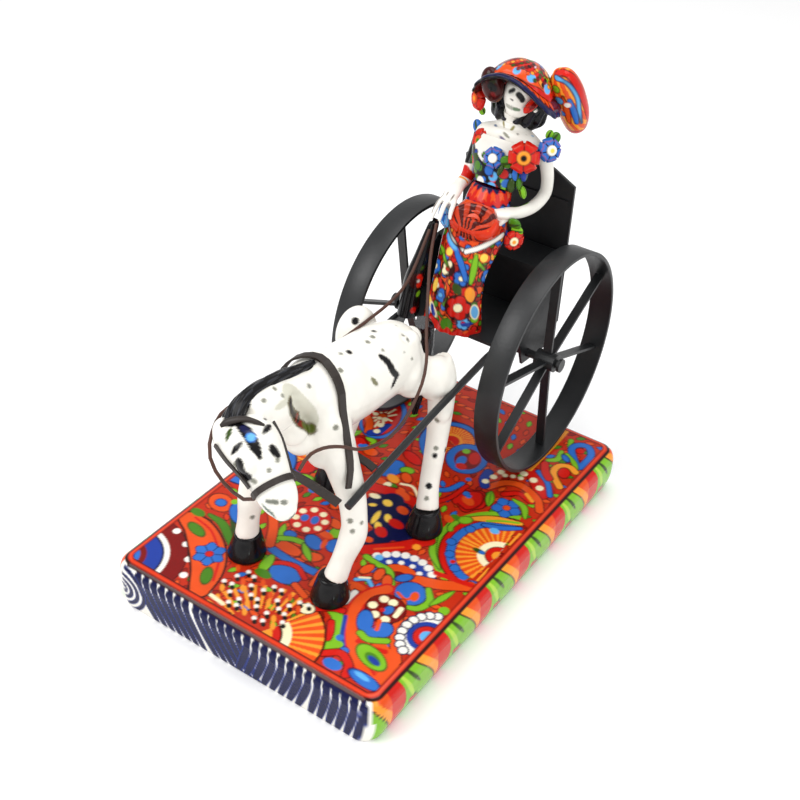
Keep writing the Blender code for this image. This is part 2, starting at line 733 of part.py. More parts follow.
def build_dress():
    """Skirt, waist sash, bodice, the fan on the lap and the dark train."""
    skirt = loft("skirt", SKIRT, floral_glaze(), 20)
    cut_loft(skirt, FAN, 18)
    sash = loft("waist_sash", SASH, red_glaze(), 16)
    cut_loft(sash, SKIRT, 20)
    cut_loft(sash, BODICE, 18)
    loft("bodice", BODICE, floral_glaze(), 18)
    loft("lap_fan", FAN, red_glaze(), 18)
    train = loft("dress_train", TRAIN, black_glaze(), 10)
    cut_loft(train, SKIRT, 20)
    for hem in (skirt, train):
        cut_box(hem, (-80, 60, 180), (80, 200, FLOOR_Z + SHEET + GAP))


HAT_TILT = math.radians(24.0)
HAT_MIDDLE = (5.0, 191.0, 421.0)
BRIM_HALF = (42.0, 41.0)
BRIM_THICK = 5.0
BRIM_DROOP = 22.0
CROWN_HALF = (32.0, 29.0)
HALF_BRIM = BRIM_THICK / 2
BRIM_ROWS = ((0.35, HALF_BRIM), (0.65, HALF_BRIM), (0.93, HALF_BRIM), (1.0, 0.0),
             (0.93, -HALF_BRIM), (0.65, -HALF_BRIM), (0.35, -HALF_BRIM))
CROWN_SEAT = HALF_BRIM + 1.1
CROWN_ROWS = ((0.3, 20.5), (0.6, 18.0), (0.85, 13.0), (0.98, 7.5), (1.0, CROWN_SEAT),
              (0.7, CROWN_SEAT), (0.4, CROWN_SEAT))
UNDER_HAT_ROWS = ((0.35, 60.0), (1.3, 60.0), (1.3, -HALF_BRIM - 1.0),
                  (0.65, -HALF_BRIM - 1.0), (0.35, -HALF_BRIM - 1.0))
HAIR = ball_sections((0, 200, 396), (29, 19, 26))
PLUME = (
    ((35, 203, 435), 6, 5), ((37, 207, 429), 12, 11), ((39, 215, 416), 15, 14),
    ((41, 224, 401), 15, 14), ((42, 232, 386), 14, 13), ((42, 239, 373), 10, 10),
    ((42, 242, 367), 4, 4),
)


def hat_place(half, share, angle, rise):
    """A place on the tilted hat; everything on it droops at the sides."""
    x = half[0] * share * math.cos(angle)
    forward = half[1] * share * math.sin(angle)
    level = rise - BRIM_DROOP * (x / BRIM_HALF[0]) ** 2
    y = HAT_MIDDLE[1] - forward * math.cos(HAT_TILT) + level * math.sin(HAT_TILT)
    z = HAT_MIDDLE[2] + forward * math.sin(HAT_TILT) + level * math.cos(HAT_TILT)
    return (HAT_MIDDLE[0] + x, y, z)


def hat_shell(rows, half, sides=28):
    """A closed shell round the hat's axis: rows are (share of the half, rise)."""
    builder = bmesh.new()
    loops = []
    for share, rise in rows:
        loops.append([builder.verts.new(hat_place(half, share, 2 * math.pi * k / sides, rise))
                      for k in range(sides)])
    for upper, lower in zip(loops, loops[1:]):
        for step in range(sides):
            follow = (step + 1) % sides
            builder.faces.new((upper[step], upper[follow], lower[follow], lower[step]))
    for loop, rise in ((loops[0], rows[0][1]), (loops[-1], rows[-1][1])):
        middle = builder.verts.new(hat_place(half, 0.0, 0.0, rise))
        for step in range(sides):
            builder.faces.new((loop[step], loop[(step + 1) % sides], middle))
    return builder


def cut_under_hat(target):
    """Cut away everything from the brim's underside upwards."""
    tool = make_object(target.name + "_cutter", hat_shell(UNDER_HAT_ROWS, BRIM_HALF),
                       white_glaze())
    combine(target, tool, "DIFFERENCE")


def build_head_and_chest():
    chest = loft("chest_and_neck", CHEST, white_glaze(), 16)
    cut_loft(chest, SKULL, 16)
    skull = loft("skull", SKULL, white_glaze(), 16)
    cut_under_hat(skull)
    hair = loft("hair", HAIR, black_glaze(), 14)
    cut_loft(hair, SKULL, 16)
    cut_loft(hair, CHEST, 16, gap=1.2)
    cut_under_hat(hair)


def build_hat():
    """Brim, flower-covered crown, and the striped plume at the back."""
    brim = make_object("hat_brim", hat_shell(BRIM_ROWS, BRIM_HALF), floral_glaze())
    cut_loft(brim, PLUME, 14)
    crown = make_object("hat_crown", hat_shell(CROWN_ROWS, CROWN_HALF), floral_glaze())
    cut_loft(crown, PLUME, 14)
    plume = loft("hat_plume", PLUME, red_glaze(), 14)
    cut_loft(plume, HAIR, 14)


def build_arms():
    left = loft("arm_left", ARM_LEFT, white_glaze(), 10)
    right = loft("arm_right", ARM_RIGHT, white_glaze(), 10)
    for arm in (left, right):
        cut_loft(arm, BODICE, 18)
        cut_loft(arm, CHEST, 16)
        cut_loft(arm, SASH, 16)
        cut_loft(arm, SKIRT, 20)
        cut_loft(arm, FAN, 18)


def build_flowers():
    """Separately formed flowers pressed on to the dress, hat and hands."""
    places = (
        ("shoulder_flower_left", (45, 181, 368), (12, 9, 12), blue_glaze()),
        ("shoulder_flower_right", (-37, 178, 359), (10, 9, 12), red_glaze()),
        ("bust_rose", (26, 161, 353), (14, 9, 15), red_glaze()),
        ("bust_flower", (-8, 156, 350), (10, 7, 10), blue_glaze()),
        ("ear_flower_left", (21, 180, 407), (6, 6, 10), red_glaze()),
        ("ear_flower_right", (-34, 181, 398), (8, 6, 11), red_glaze()),
        ("hand_bouquet", (28, 141, 286), (9, 9, 13), floral_glaze()),
        ("wrist_flower", (-31, 126, 294), (6, 6, 9), blue_glaze()),
    )
    for name, centre, radii, finish in places:
        flower = loft(name, ball_sections(centre, radii, rows=5), finish, 12)
        for sections, sides in ((BODICE, 18), (CHEST, 16), (SKULL, 16), (SKIRT, 20),
                                (HAIR, 14), (TRAIN, 10)):
            cut_loft(flower, sections, sides)
        cut_under_hat(flower)
        for sections in (ARM_LEFT, ARM_RIGHT):
            cut_loft(flower, sections, 10)


# --------------------------------------------------------------------- main
def build_all():
    clear_scene()
    build_base()
    build_horse_body()
    build_mane()
    build_tail()
    build_legs()
    build_hooves()
    build_body_straps()
    build_bridle()
    build_reins()
    build_wheel(LEFT, "left", NEAR_SPOKES)
    build_wheel(RIGHT, "right", FAR_SPOKES)
    build_axle()
    build_side_panels()
    build_back_panel()
    build_cart_box()
    build_shafts()
    build_dress()
    build_head_and_chest()
    build_hat()
    build_arms()
    build_flowers()


build_all()
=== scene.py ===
"""Looks of the glazed ceramic catrina driving an iron horse cart.

Places are millimetres from the middle of the painted slab; PLACE moves them
into the frame.  The painted decoration is worked out here, motif by motif, as
colours on the points of each surface.
"""
import math
import bpy
import bmesh
import numpy as np
from mathutils import Vector, Matrix


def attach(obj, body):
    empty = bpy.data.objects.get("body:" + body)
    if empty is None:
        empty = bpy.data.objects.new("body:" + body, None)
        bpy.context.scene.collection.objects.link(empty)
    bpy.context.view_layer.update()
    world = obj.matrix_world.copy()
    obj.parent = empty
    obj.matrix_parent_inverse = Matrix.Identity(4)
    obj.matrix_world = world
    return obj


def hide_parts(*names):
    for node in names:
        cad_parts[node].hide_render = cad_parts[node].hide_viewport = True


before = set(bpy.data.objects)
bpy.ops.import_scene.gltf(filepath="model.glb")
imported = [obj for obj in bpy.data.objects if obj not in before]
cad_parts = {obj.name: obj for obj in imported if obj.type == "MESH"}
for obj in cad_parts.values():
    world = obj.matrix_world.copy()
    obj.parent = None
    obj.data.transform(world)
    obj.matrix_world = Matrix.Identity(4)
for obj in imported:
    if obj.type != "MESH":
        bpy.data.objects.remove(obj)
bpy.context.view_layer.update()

MM = 0.001
PLACE = np.array((0.0, -13.0, 0.0))
BODY = "cart_and_horse"


# ------------------------------------------------------------------ colours
def tint(red, green, blue):
    """A display colour, 0 to 255, as linear light."""
    row = np.array((red, green, blue)) / 255.0
    return np.where(row <= 0.04045, row / 12.92, ((row + 0.055) / 1.055) ** 2.4)


WHITE = tint(238, 235, 226)
CREAM = tint(244, 232, 190)
YELLOW = tint(246, 205, 80)
AMBER = tint(238, 150, 45)
ORANGE = tint(222, 78, 24)
RED = tint(200, 26, 16)
DEEP = tint(120, 10, 8)
MAROON = tint(46, 9, 8)
LIME = tint(120, 180, 35)
GREEN = tint(70, 125, 25)
MOSS = tint(50, 72, 22)
SKY = tint(95, 170, 226)
BLUE = tint(45, 105, 190)
COBALT = tint(30, 58, 150)
NAVY = tint(12, 16, 62)
BLACK = tint(14, 13, 15)
GREY = tint(120, 122, 112)

# steps that spread small marks evenly: one turn in radians, and two shares of a run
GOLDEN_TURN = 2.399
SPREAD_ONE = 0.618
SPREAD_TWO = 0.7549


# ------------------------------------------------------------------ painting
def spline(route, count):
    """Points spread along a smooth curve through the route."""
    knots = np.asarray(route, float)
    if len(knots) < 3:
        share = np.linspace(0.0, 1.0, count)[:, None]
        return knots[0] * (1 - share) + knots[-1] * share
    ends = np.vstack((2 * knots[0] - knots[1], knots, 2 * knots[-1] - knots[-2]))
    dense = []
    for one, two, three, four in zip(ends, ends[1:], ends[2:], ends[3:]):
        t = np.linspace(0.0, 1.0, 20, endpoint=False)[:, None]
        dense.append(0.5 * (2 * two + (three - one) * t
                            + (2 * one - 5 * two + 4 * three - four) * t * t
                            + (3 * two - one - 3 * three + four) * t ** 3))
    dense = np.vstack(dense + [knots[-1:]])
    run = np.concatenate(((0.0,), np.cumsum(np.linalg.norm(np.diff(dense, axis=0), axis=1))))
    wanted = np.linspace(0.0, run[-1], count)
    return np.stack([np.interp(wanted, run, dense[:, k]) for k in range(dense.shape[1])], axis=1)


class Paint:
    """Colours laid on a set of points, in two or three dimensions."""

    def __init__(self, places, ground, soft=0.7):
        self.at = np.asarray(places, float)
        self.colour = np.tile(np.asarray(ground, float), (len(self.at), 1))
        self.soft = soft

    def lay(self, rows, inside, colour):
        """Cover these rows where inside (mm, positive inside) is large."""
        share = np.clip(0.5 + inside / self.soft, 0.0, 1.0)[:, None]
        self.colour[rows] = self.colour[rows] * (1 - share) + np.asarray(colour) * share

    def near(self, low, high, reach):
        ok = np.ones(len(self.at), bool)
        for axis in range(self.at.shape[1]):
            ok &= (self.at[:, axis] > low[axis] - reach) & (self.at[:, axis] < high[axis] + reach)
        return np.nonzero(ok)[0]

    def snap(self, place):
        """The painted point nearest to a place."""
        return self.at[np.linalg.norm(self.at - np.asarray(place, float), axis=1).argmin()]

    def stroke(self, route, width, colour, rim=None, rim_width=1.0, taper=0.0, smooth=True):
        """A brush stroke; taper thins its ends."""
        line = spline(route, max(6, 5 * len(route))) if smooth else np.asarray(route, float)
        reach = width / 2 + rim_width + 1.5
        rows = self.near(line.min(axis=0), line.max(axis=0), reach)
        if not len(rows):
            return
        at = self.at[rows]
        best = np.full(len(rows), 1e9)
        total = len(line) - 1
        for index in range(total):
            start, step = line[index], line[index + 1] - line[index]
            size = max(float(step @ step), 1e-9)
            share = np.clip((at - start) @ step / size, 0.0, 1.0)
            gap = np.linalg.norm(at - start - share[:, None] * step, axis=1)
            run = (index + share) / total
            half = width / 2 * (1 - taper * (2 * np.abs(run - 0.5)) ** 2)
            best = np.minimum(best, gap - half)
        if rim is not None:
            self.lay(rows, rim_width - best, rim)
        self.lay(rows, -best, colour)

    def oval(self, centre, radii, colour, turn=0.0, rim=None, rim_width=1.0, wave=0, depth=0.0):
        """A flat ellipse (2-D only), with an optional wavy edge."""
        big = max(radii) + rim_width + 1.5
        rows = self.near(centre, centre, big * (1 + depth))
        if not len(rows):
            return
        off = self.at[rows] - np.asarray(centre, float)
        c, s = math.cos(math.radians(turn)), math.sin(math.radians(turn))
        x = (off[:, 0] * c + off[:, 1] * s) / radii[0]
        y = (-off[:, 0] * s + off[:, 1] * c) / radii[1]
        edge = 1.0
        if wave:
            edge = 1 + depth * np.cos(wave * np.arctan2(y, x))
        inside = (edge - np.hypot(x, y)) * min(radii)
        if rim is not None:
            self.lay(rows, inside + rim_width, rim)
        self.lay(rows, inside, colour)

    def dab(self, centre, radius, colour, rim=None, rim_width=0.8):
        """A round spot."""
        rows = self.near(centre, centre, radius + rim_width + 1.5)
        if not len(rows):
            return
        inside = radius - np.linalg.norm(self.at[rows] - np.asarray(centre, float), axis=1)
        if rim is not None:
            self.lay(rows, inside + rim_width, rim)
        self.lay(rows, inside, colour)

    def dots(self, route, count, radius, colour, rim=None):
        for place in spline(route, count):
            self.dab(place, radius, colour, rim)

    def leaf(self, start, end, width, colour, rim=MAROON, vein=None, bend=0.0):
        """A leaf between two points (2-D), bent sideways."""
        start, end = np.asarray(start, float), np.asarray(end, float)
        along = end - start
        side = np.array((-along[1], along[0]))
        middle = (start + end) / 2 + side * bend
        self.stroke((start, middle, end), width, colour, rim, 1.1, 0.9)
        if vein is not None:
            self.stroke((start * 0.8 + middle * 0.2, middle, end * 0.8 + middle * 0.2), 1.1, vein)

    def shell(self, centre, bands, first, last, rays=0, ray=AMBER):
        """Rings of a fan round a centre; bands are (radius, colour), outermost first."""
        reach = bands[0][0] + 2
        rows = self.near(centre, centre, reach)
        if not len(rows):
            return
        off = self.at[rows] - np.asarray(centre, float)
        size = np.linalg.norm(off, axis=1)
        turn = np.degrees(np.arctan2(off[:, 1], off[:, 0]))
        middle = (first + last) / 2
        away = np.abs((turn - middle + 180) % 360 - 180)
        open_ = ((last - first) / 2 - away) * math.pi / 180 * np.maximum(size, 1.0)
        for index, (radius, colour) in enumerate(bands):
            self.lay(rows, np.minimum(radius - size, open_), colour)
            if rays and index == rays[0]:
                inner = bands[index + 1][0]
                wave = np.cos(np.radians((turn - first) * 360 / rays[1])) * 1.6 - 0.4
                self.lay(rows, np.minimum(np.minimum(radius - size, size - inner + 1), wave), ray)

    def blossom(self, centre, radius, petals, colour, heart=YELLOW, rim=NAVY, heart_size=0.3):
        """A flower with rounded petals (2-D)."""
        self.oval(centre, (radius, radius), colour, 0, rim, 1.0, petals, 0.14)
        for index in range(petals):
            turn = 2 * math.pi * (index + 0.5) / petals
            way = np.array((math.cos(turn), math.sin(turn)))
            self.stroke((centre + way * radius * 0.4, centre + way * radius * 0.95), 0.9, rim,
                        smooth=False)
        self.dab(centre, radius * heart_size, heart, rim)


# ------------------------------------------------------------------ materials
def link_all(tree, *pairs):
    for start, end in pairs:
        tree.links.new(start, end)


def glaze(name, flat=None, rough=0.18, coat=0.06, bump=0.10):
    """Fired glaze: painted colours or one colour, slightly uneven and glossy."""
    made = bpy.data.materials.new(name)
    made.use_nodes = True
    tree = made.node_tree
    shader = tree.nodes["Principled BSDF"]
    place = tree.nodes.new("ShaderNodeTexCoord")
    cloud = tree.nodes.new("ShaderNodeTexNoise")
    cloud.inputs["Scale"].default_value = 55.0
    cloud.inputs["Detail"].default_value = 3.0
    ramp = tree.nodes.new("ShaderNodeMapRange")
    ramp.inputs["To Min"].default_value = 0.86
    ramp.inputs["To Max"].default_value = 1.10
    shade = tree.nodes.new("ShaderNodeMix")
    shade.data_type = "RGBA"
    shade.blend_type = "MULTIPLY"
    shade.inputs["Factor"].default_value = 1.0
    if flat is None:
        paint = tree.nodes.new("ShaderNodeVertexColor")
        paint.layer_name = "paint"
        tree.links.new(paint.outputs["Color"], shade.inputs["A"])
    else:
        shade.inputs["A"].default_value = (*flat, 1.0)
    ripple = tree.nodes.new("ShaderNodeTexNoise")
    ripple.inputs["Scale"].default_value = 160.0
    relief = tree.nodes.new("ShaderNodeBump")
    relief.inputs["Strength"].default_value = bump
    relief.inputs["Distance"].default_value = 0.0006
    link_all(tree, (place.outputs["Object"], cloud.inputs["Vector"]),
             (place.outputs["Object"], ripple.inputs["Vector"]),
             (cloud.outputs["Fac"], ramp.inputs["Value"]),
             (ramp.outputs["Result"], shade.inputs["B"]),
             (shade.outputs["Result"], shader.inputs["Base Color"]),
             (ripple.outputs["Fac"], relief.inputs["Height"]),
             (relief.outputs["Normal"], shader.inputs["Normal"]))
    shader.inputs["Roughness"].default_value = rough
    shader.inputs["Coat Weight"].default_value = coat
    shader.inputs["Coat Roughness"].default_value = 0.05
    shader.inputs["Specular IOR Level"].default_value = 0.2
    return made


def worn(name, low, high, rough, scale, bump, metal=0.0):
    """Painted iron or leather: two close shades broken up by noise."""
    made = bpy.data.materials.new(name)
    made.use_nodes = True
    tree = made.node_tree
    shader = tree.nodes["Principled BSDF"]
    place = tree.nodes.new("ShaderNodeTexCoord")
    cloud = tree.nodes.new("ShaderNodeTexNoise")
    cloud.inputs["Scale"].default_value = scale
    cloud.inputs["Detail"].default_value = 4.0
    mix = tree.nodes.new("ShaderNodeMix")
    mix.data_type = "RGBA"
    mix.inputs["A"].default_value = (*low, 1.0)
    mix.inputs["B"].default_value = (*high, 1.0)
    grain = tree.nodes.new("ShaderNodeTexNoise")
    grain.inputs["Scale"].default_value = scale * 9
    relief = tree.nodes.new("ShaderNodeBump")
    relief.inputs["Strength"].default_value = bump
    relief.inputs["Distance"].default_value = 0.0005
    gloss = tree.nodes.new("ShaderNodeMapRange")
    gloss.inputs["To Min"].default_value = rough - 0.08
    gloss.inputs["To Max"].default_value = rough + 0.10
    link_all(tree, (place.outputs["Object"], cloud.inputs["Vector"]),
             (place.outputs["Object"], grain.inputs["Vector"]),
             (cloud.outputs["Fac"], mix.inputs["Factor"]),
             (cloud.outputs["Fac"], gloss.inputs["Value"]),
             (gloss.outputs["Result"], shader.inputs["Roughness"]),
             (mix.outputs["Result"], shader.inputs["Base Color"]),
             (grain.outputs["Fac"], relief.inputs["Height"]),
             (relief.outputs["Normal"], shader.inputs["Normal"]))
    shader.inputs["Metallic"].default_value = metal
    return made


PAINTED = glaze("painted_glaze")
IRON = worn("iron_black", tint(10, 11, 13), tint(27, 29, 31), 0.42, 30.0, 0.25)
LEATHER = worn("leather_dark", tint(16, 11, 9), tint(44, 30, 20), 0.50, 60.0, 0.35)
CORD = worn("cord_dark", tint(44, 22, 14), tint(86, 46, 28), 0.55, 90.0, 0.35)


# ------------------------------------------------------------------ meshes
def piece(name, verts, faces, finish, slot, colours=None, replaces=(), body=BODY, sharp=50.0):
    """Points in mm from the slab's middle become a riding piece of the scene."""
    mesh = bpy.data.meshes.new(name)
    mesh.from_pydata(((np.asarray(verts, float) + PLACE) * MM).tolist(), [], faces)
    mesh.validate()
    mesh.update()
    builder = bmesh.new()
    builder.from_mesh(mesh)
    bmesh.ops.recalc_face_normals(builder, faces=builder.faces)
    builder.to_mesh(mesh)
    builder.free()
    if colours is not None:
        layer = mesh.color_attributes.new("paint", "FLOAT_COLOR", "POINT")
        rows = np.ones((len(verts), 4))
        rows[:, :3] = colours
        layer.data.foreach_set("color", rows.ravel())
    mesh.shade_smooth()
    mesh.set_sharp_from_angle(angle=math.radians(sharp))
    mesh.materials.append(finish)
    made = bpy.data.objects.new(name, mesh)
    bpy.context.collection.objects.link(made)
    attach(made, body)
    if replaces:
        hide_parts(*replaces)
    return made


def glazed(name, verts, faces, slot, colours, nodes):
    """A painted ceramic piece that stands for these CAD nodes."""
    return piece(name, verts, faces, PAINTED, slot, colours, nodes, sharp=80)


def skin(rings, cap=True):
    """Faces between rings of equal counts; ends closed by fans."""
    rings = [np.asarray(ring, float) for ring in rings]
    count = len(rings[0])
    verts = [ring for ring in rings]
    faces = []
    for row in range(len(rings) - 1):
        a = row * count
        for step in range(count):
            follow = (step + 1) % count
            faces.append((a + step, a + follow, a + count + follow, a + count + step))
    if cap:
        total = len(rings) * count
        verts.append(rings[0].mean(axis=0)[None])
        verts.append(rings[-1].mean(axis=0)[None])
        last = (len(rings) - 1) * count
        for step in range(count):
            follow = (step + 1) % count
            faces.append((follow, step, total))
            faces.append((last + step, last + follow, total + 1))
    return np.vstack(verts), faces


def loft(sections, sides=48, rows=None, across=(1.0, 0.0, 0.0), ends=True):
    """Elliptical sections (centre, half side, half up) skinned smoothly."""
    table = np.array([[*place, side, up] for place, (side, up) in
                      ((row[0], row[1:]) for row in sections)], float)
    rows = rows or 6 * len(table)
    dense = spline(table, rows)
    across = np.asarray(across, float)
    rings = []
    angle = 2 * math.pi * (np.arange(sides) + 0.5) / sides
    for index in range(rows):
        centre = dense[index, :3]
        along = dense[min(index + 1, rows - 1), :3] - dense[max(index - 1, 0), :3]
        along = along / np.linalg.norm(along)
        side = across - along * (across @ along)
        side = side / np.linalg.norm(side)
        up = np.cross(side, along)
        rings.append(centre + side * dense[index, 3] * np.cos(angle)[:, None]
                     + up * dense[index, 4] * np.sin(angle)[:, None])
    if ends:
        for first, outer in ((0, True), (-1, False)):
            ring, middle = rings[first], rings[first].mean(axis=0)
            for share in (0.96, 0.85, 0.6, 0.3):
                made = middle + (ring - middle) * share
                if outer:
                    rings.insert(0, made)
                else:
                    rings.append(made)
    return skin(rings)


def ball(centre, radii, facing=(0, 0, 1), sides=40, rows=24, shape=None, roll=0.0):
    """An ellipsoid with its pole facing one way; shape reshapes radius and height."""
    facing = Vector(facing).normalized()
    turn = Vector((0, 0, 1)).rotation_difference(facing).to_matrix() @ Matrix.Rotation(roll, 3, "Z")
    turn = np.array(turn)
    rings, polar, round_ = [], [], []
    for row in range(1, rows):
        p = math.pi * row / rows
        a = 2 * math.pi * np.arange(sides) / sides
        r, h = np.full(sides, math.sin(p)), np.full(sides, math.cos(p))
        if shape:
            r, h = shape(np.full(sides, p), a, r, h)
        ring = np.stack((radii[0] * r * np.cos(a), radii[1] * r * np.sin(a), radii[2] * h), axis=1)
        rings.append(ring @ turn.T + np.asarray(centre, float))
        polar.append(np.full(sides, p))
        round_.append(a)
    verts, faces = skin(rings)
    polar = np.concatenate(polar + [(0.0, math.pi)])
    round_ = np.concatenate(round_ + [(0.0, 0.0)])
    return verts, faces, polar, round_


def merge(parts):
    """Several (verts, faces, colours) as one."""
    verts, faces, colours, start = [], [], [], 0
    for v, f, c in parts:
        verts.append(v)
        faces += [tuple(i + start for i in face) for face in f]
        colours.append(c)
        start += len(v)
    return np.vstack(verts), faces, np.vstack(colours)


# ------------------------------------------------------------------ slab paint
def paint_top(at):
    """Folk flowers, shells, leaves and dots over the slab's top."""
    p = Paint(at, tint(186, 42, 16), 1.1)
    # the mottled ground between the motifs
    for index in range(620):
        x = -138 + (index * 0.61803) % 1.0 * 276
        y = -210 + (index * 0.75488 + 0.13) % 1.0 * 420
        a = index * 2.4
        p.stroke(((x, y), (x + 8 * math.cos(a), y + 8 * math.sin(a))), 5,
                 (ORANGE, tint(206, 54, 18), GREEN, ORANGE, tint(150, 24, 12), BLUE,
                  ORANGE, LIME)[index % 8], MAROON, 0.9, 0.6, False)
    for mirror in (False, True):
        if mirror:
            keep = p.at.copy()
            p.at = p.at * (-1, 1)
            hidden = (keep[:, 0] < -60) & (keep[:, 1] > -60)
            p.at[~hidden] = (999, 999)
        # shell at the middle of the near edge
        p.shell((134, -2), ((63, LIME), (57, MAROON), (55.5, RED), (50, MAROON), (49, BLUE),
                            (41, MAROON), (40, ORANGE), (20, CREAM), (13, MAROON), (12, RED),
                            (6, AMBER)), 100, 260, (6, 11))
        p.oval((116, -7), (7, 3), MOSS)
        p.oval((119, -7), (3, 2.4), BLUE)
        p.dab((104, -34), 2.6, RED)
        for place in ((88, -12), (93, 14), (96, -27), (110, -40)):
            p.dab(place, 4.5, BLUE, NAVY)
        p.leaf((72, -12), (100, -50), 6, LIME, MOSS, None, -0.12)
        # blue flower and its leaves
        p.blossom((105, 62), 13, 5, BLUE, ORANGE, NAVY, 0.28)
        p.stroke(((104, 77), (118, 73), (127, 60)), 6, LIME, MOSS, taper=0.6)
        p.leaf((80, 74), (89, 54), 8, LIME, MOSS, GREEN)
        p.stroke(((86, 28), (104, 40), (128, 50)), 9, AMBER, MAROON, taper=0.5)
        p.stroke(((100, 34), (112, 43), (126, 50)), 3, LIME)
        p.stroke(((100, 27), (115, 33), (131, 44)), 6, BLUE, NAVY, taper=0.4)
        p.oval((113, 26), (5, 4), SKY)
        # red flower
        p.oval((70, 50), (15, 17), RED, 0, MAROON, 1.2, 5, 0.1)
        p.stroke(((60, 60), (74, 66), (82, 52), (76, 36), (63, 38)), 2, DEEP)
        p.oval((69, 48), (8, 5), ORANGE, -25)
        p.dab((62, 56), 3.4, BLUE, MAROON)
        p.oval((82, 22), (7, 5), LIME, 40, MOSS)
        p.oval((72, 20), (5, 3.6), GREEN)
        p.stroke(((77, 14), (76, 6), (78, 2)), 5, LIME, MOSS)
        p.oval((68, 14), (6, 4), ORANGE, -30)
        # white-dotted band and arcs
        p.stroke(((86, 122), (98, 124), (112, 112), (122, 101)), 15, RED, MAROON)
        p.dots(((92, 118), (105, 115), (116, 108)), 3, 4.0, CREAM)
        p.stroke(((102, 130), (118, 120), (130, 104)), 5, BLUE, NAVY)
        p.stroke(((74, 78), (84, 94), (100, 100), (122, 92), (133, 78)), 8, ORANGE, MAROON)
        p.stroke(((92, 78), (104, 88), (120, 84)), 6, RED, MAROON)
        p.stroke(((110, 92), (120, 86)), 4, AMBER)
        p.stroke(((62, 98), (64, 86), (70, 78)), 9, COBALT, NAVY)
        p.dots(((72, 106), (70, 95), (67, 84)), 3, 3.6, CREAM)
        p.dots(((78, 104), (86, 108), (93, 110)), 3, 2.8, CREAM)
        # back corner: loops
        p.stroke(((93, 128), (93, 165), (92, 206)), 6, AMBER)
        p.stroke(((104, 196), (108, 186)), 5, LIME, MOSS)
        p.stroke(((131, 160), (112, 182), (114, 194), (124, 197), (133, 185), (133, 162)), 7,
                 BLUE, NAVY)
        p.dab((120, 186), 4.4, RED, MAROON)
        p.stroke(((105, 173), (108, 160), (101, 152)), 6, LIME, MOSS, taper=0.3)
        p.stroke(((112, 172), (124, 165), (130, 158)), 5, LIME, MOSS)
        p.oval((114, 166), (6, 3), BLUE, -35, NAVY)
        p.stroke(((131, 122), (116, 136), (114, 150), (124, 156), (133, 152)), 7, AMBER, MAROON)
        p.oval((124, 144), (6, 8), RED, 20, MAROON)
        p.stroke(((101, 145), (108, 134), (116, 127)), 8, RED, MAROON)
        # middle: arches and ring
        p.shell((4, 118), ((34, NAVY), (32, BLUE), (26, MAROON), (24.5, ORANGE), (12, AMBER),
                           (9, RED)), -30, 210, (3, 9))
        p.oval((33, 103), (21, 24), BLUE, 20, NAVY)
        p.oval((34, 103), (14, 17), DEEP, 20)
        p.oval((39, 108), (6, 10), RED, 25)
        p.oval((30, 97), (5, 8), BLUE, 10)
        p.dab((26, 113), 4, LIME)
        p.oval((35, 89), (6, 5), RED)
        p.dots(((52, 76), (58, 64), (66, 54)), 2, 3, BLUE)
        p.stroke(((-26, 122), (-20, 100), (-2, 82), (14, 78)), 6, BLUE, NAVY)
        p.stroke(((-16, 112), (-8, 100), (2, 92)), 7, RED, MAROON)
        p.stroke(((-34, 100), (-24, 78), (-6, 66)), 7, RED, MAROON)
        p.oval((-12, 70), (13, 6), RED, -20, MAROON)
        p.oval((-20, 43), (11, 15), BLUE, -15, NAVY)
        p.oval((-5, 50), (7, 5), LIME, 20, MOSS)
        p.oval((1, 40), (8, 5), ORANGE, -40, MAROON)
        p.oval((-9, 31), (8, 5), AMBER, -20)
        p.oval((-17, 18), (8, 7), ORANGE, 0)
        p.oval((-8, 19), (4, 5), CREAM)
        p.stroke(((2, 29), (14, 32), (28, 22)), 3, CREAM)
        p.stroke(((30, 40), (44, 50), (50, 66)), 6, BLUE, NAVY)
        p.stroke(((38, 16), (52, 40), (56, 66)), 5, RED, MAROON)
        # red flower with white dashes, far side
        p.oval((-76, 108), (24, 38), BLUE, 20, NAVY)
        p.oval((-77, 108), (19, 33), RED, 20, MAROON)
        for turn in range(0, 360, 36):
            c, s = math.cos(math.radians(turn)), math.sin(math.radians(turn))
            p.stroke(((-77 + 6 * c, 108 + 9 * s), (-77 + 12 * c, 108 + 20 * s)), 2.6, CREAM)
        p.dab((-77, 108), 5, ORANGE, MAROON)
        p.oval((-66, 64), (10, 6), LIME, 30, MOSS)
        p.oval((-52, 52), (8, 6), ORANGE, 0, MAROON)
        if mirror:
            p.at = keep
    # navy panel with drops
    p.stroke(((-18, 8), (8, 14), (40, 12), (58, 2)), 12, RED, MAROON)
    p.oval((13, 16), (10, 5), ORANGE, -20)
    p.oval((24, -18), (38, 24), NAVY, -24)
    p.stroke(((10, 2), (30, -36), (26, -62)), 24, NAVY)
    for place, radii, turn, colour in (((8, -3), (5.5, 4.4), -20, YELLOW),
                                       ((-8, -2), (6, 3.4), 10, CREAM),
                                       ((11, -27), (3, 10), 12, YELLOW),
                                       ((26, -3), (7, 5), -20, ORANGE),
                                       ((21, -21), (6, 3.5), -50, YELLOW),
                                       ((32, -23), (9, 5.4), -8, RED),
                                       ((20, -36), (6, 3.5), -50, YELLOW),
                                       ((27, -41), (8, 5.6), -35, RED),
                                       ((24, -57), (4.5, 4), 0, ORANGE),
                                       ((-2, -14), (4, 2.4), 30, YELLOW)):
        p.oval(place, radii, colour, turn)
    p.stroke(((30, -70), (52, -48), (70, -24)), 13, RED, MAROON)
    p.dab((66, -38), 4, AMBER)
    p.stroke(((36, -64), (56, -46)), 2.5, ORANGE)
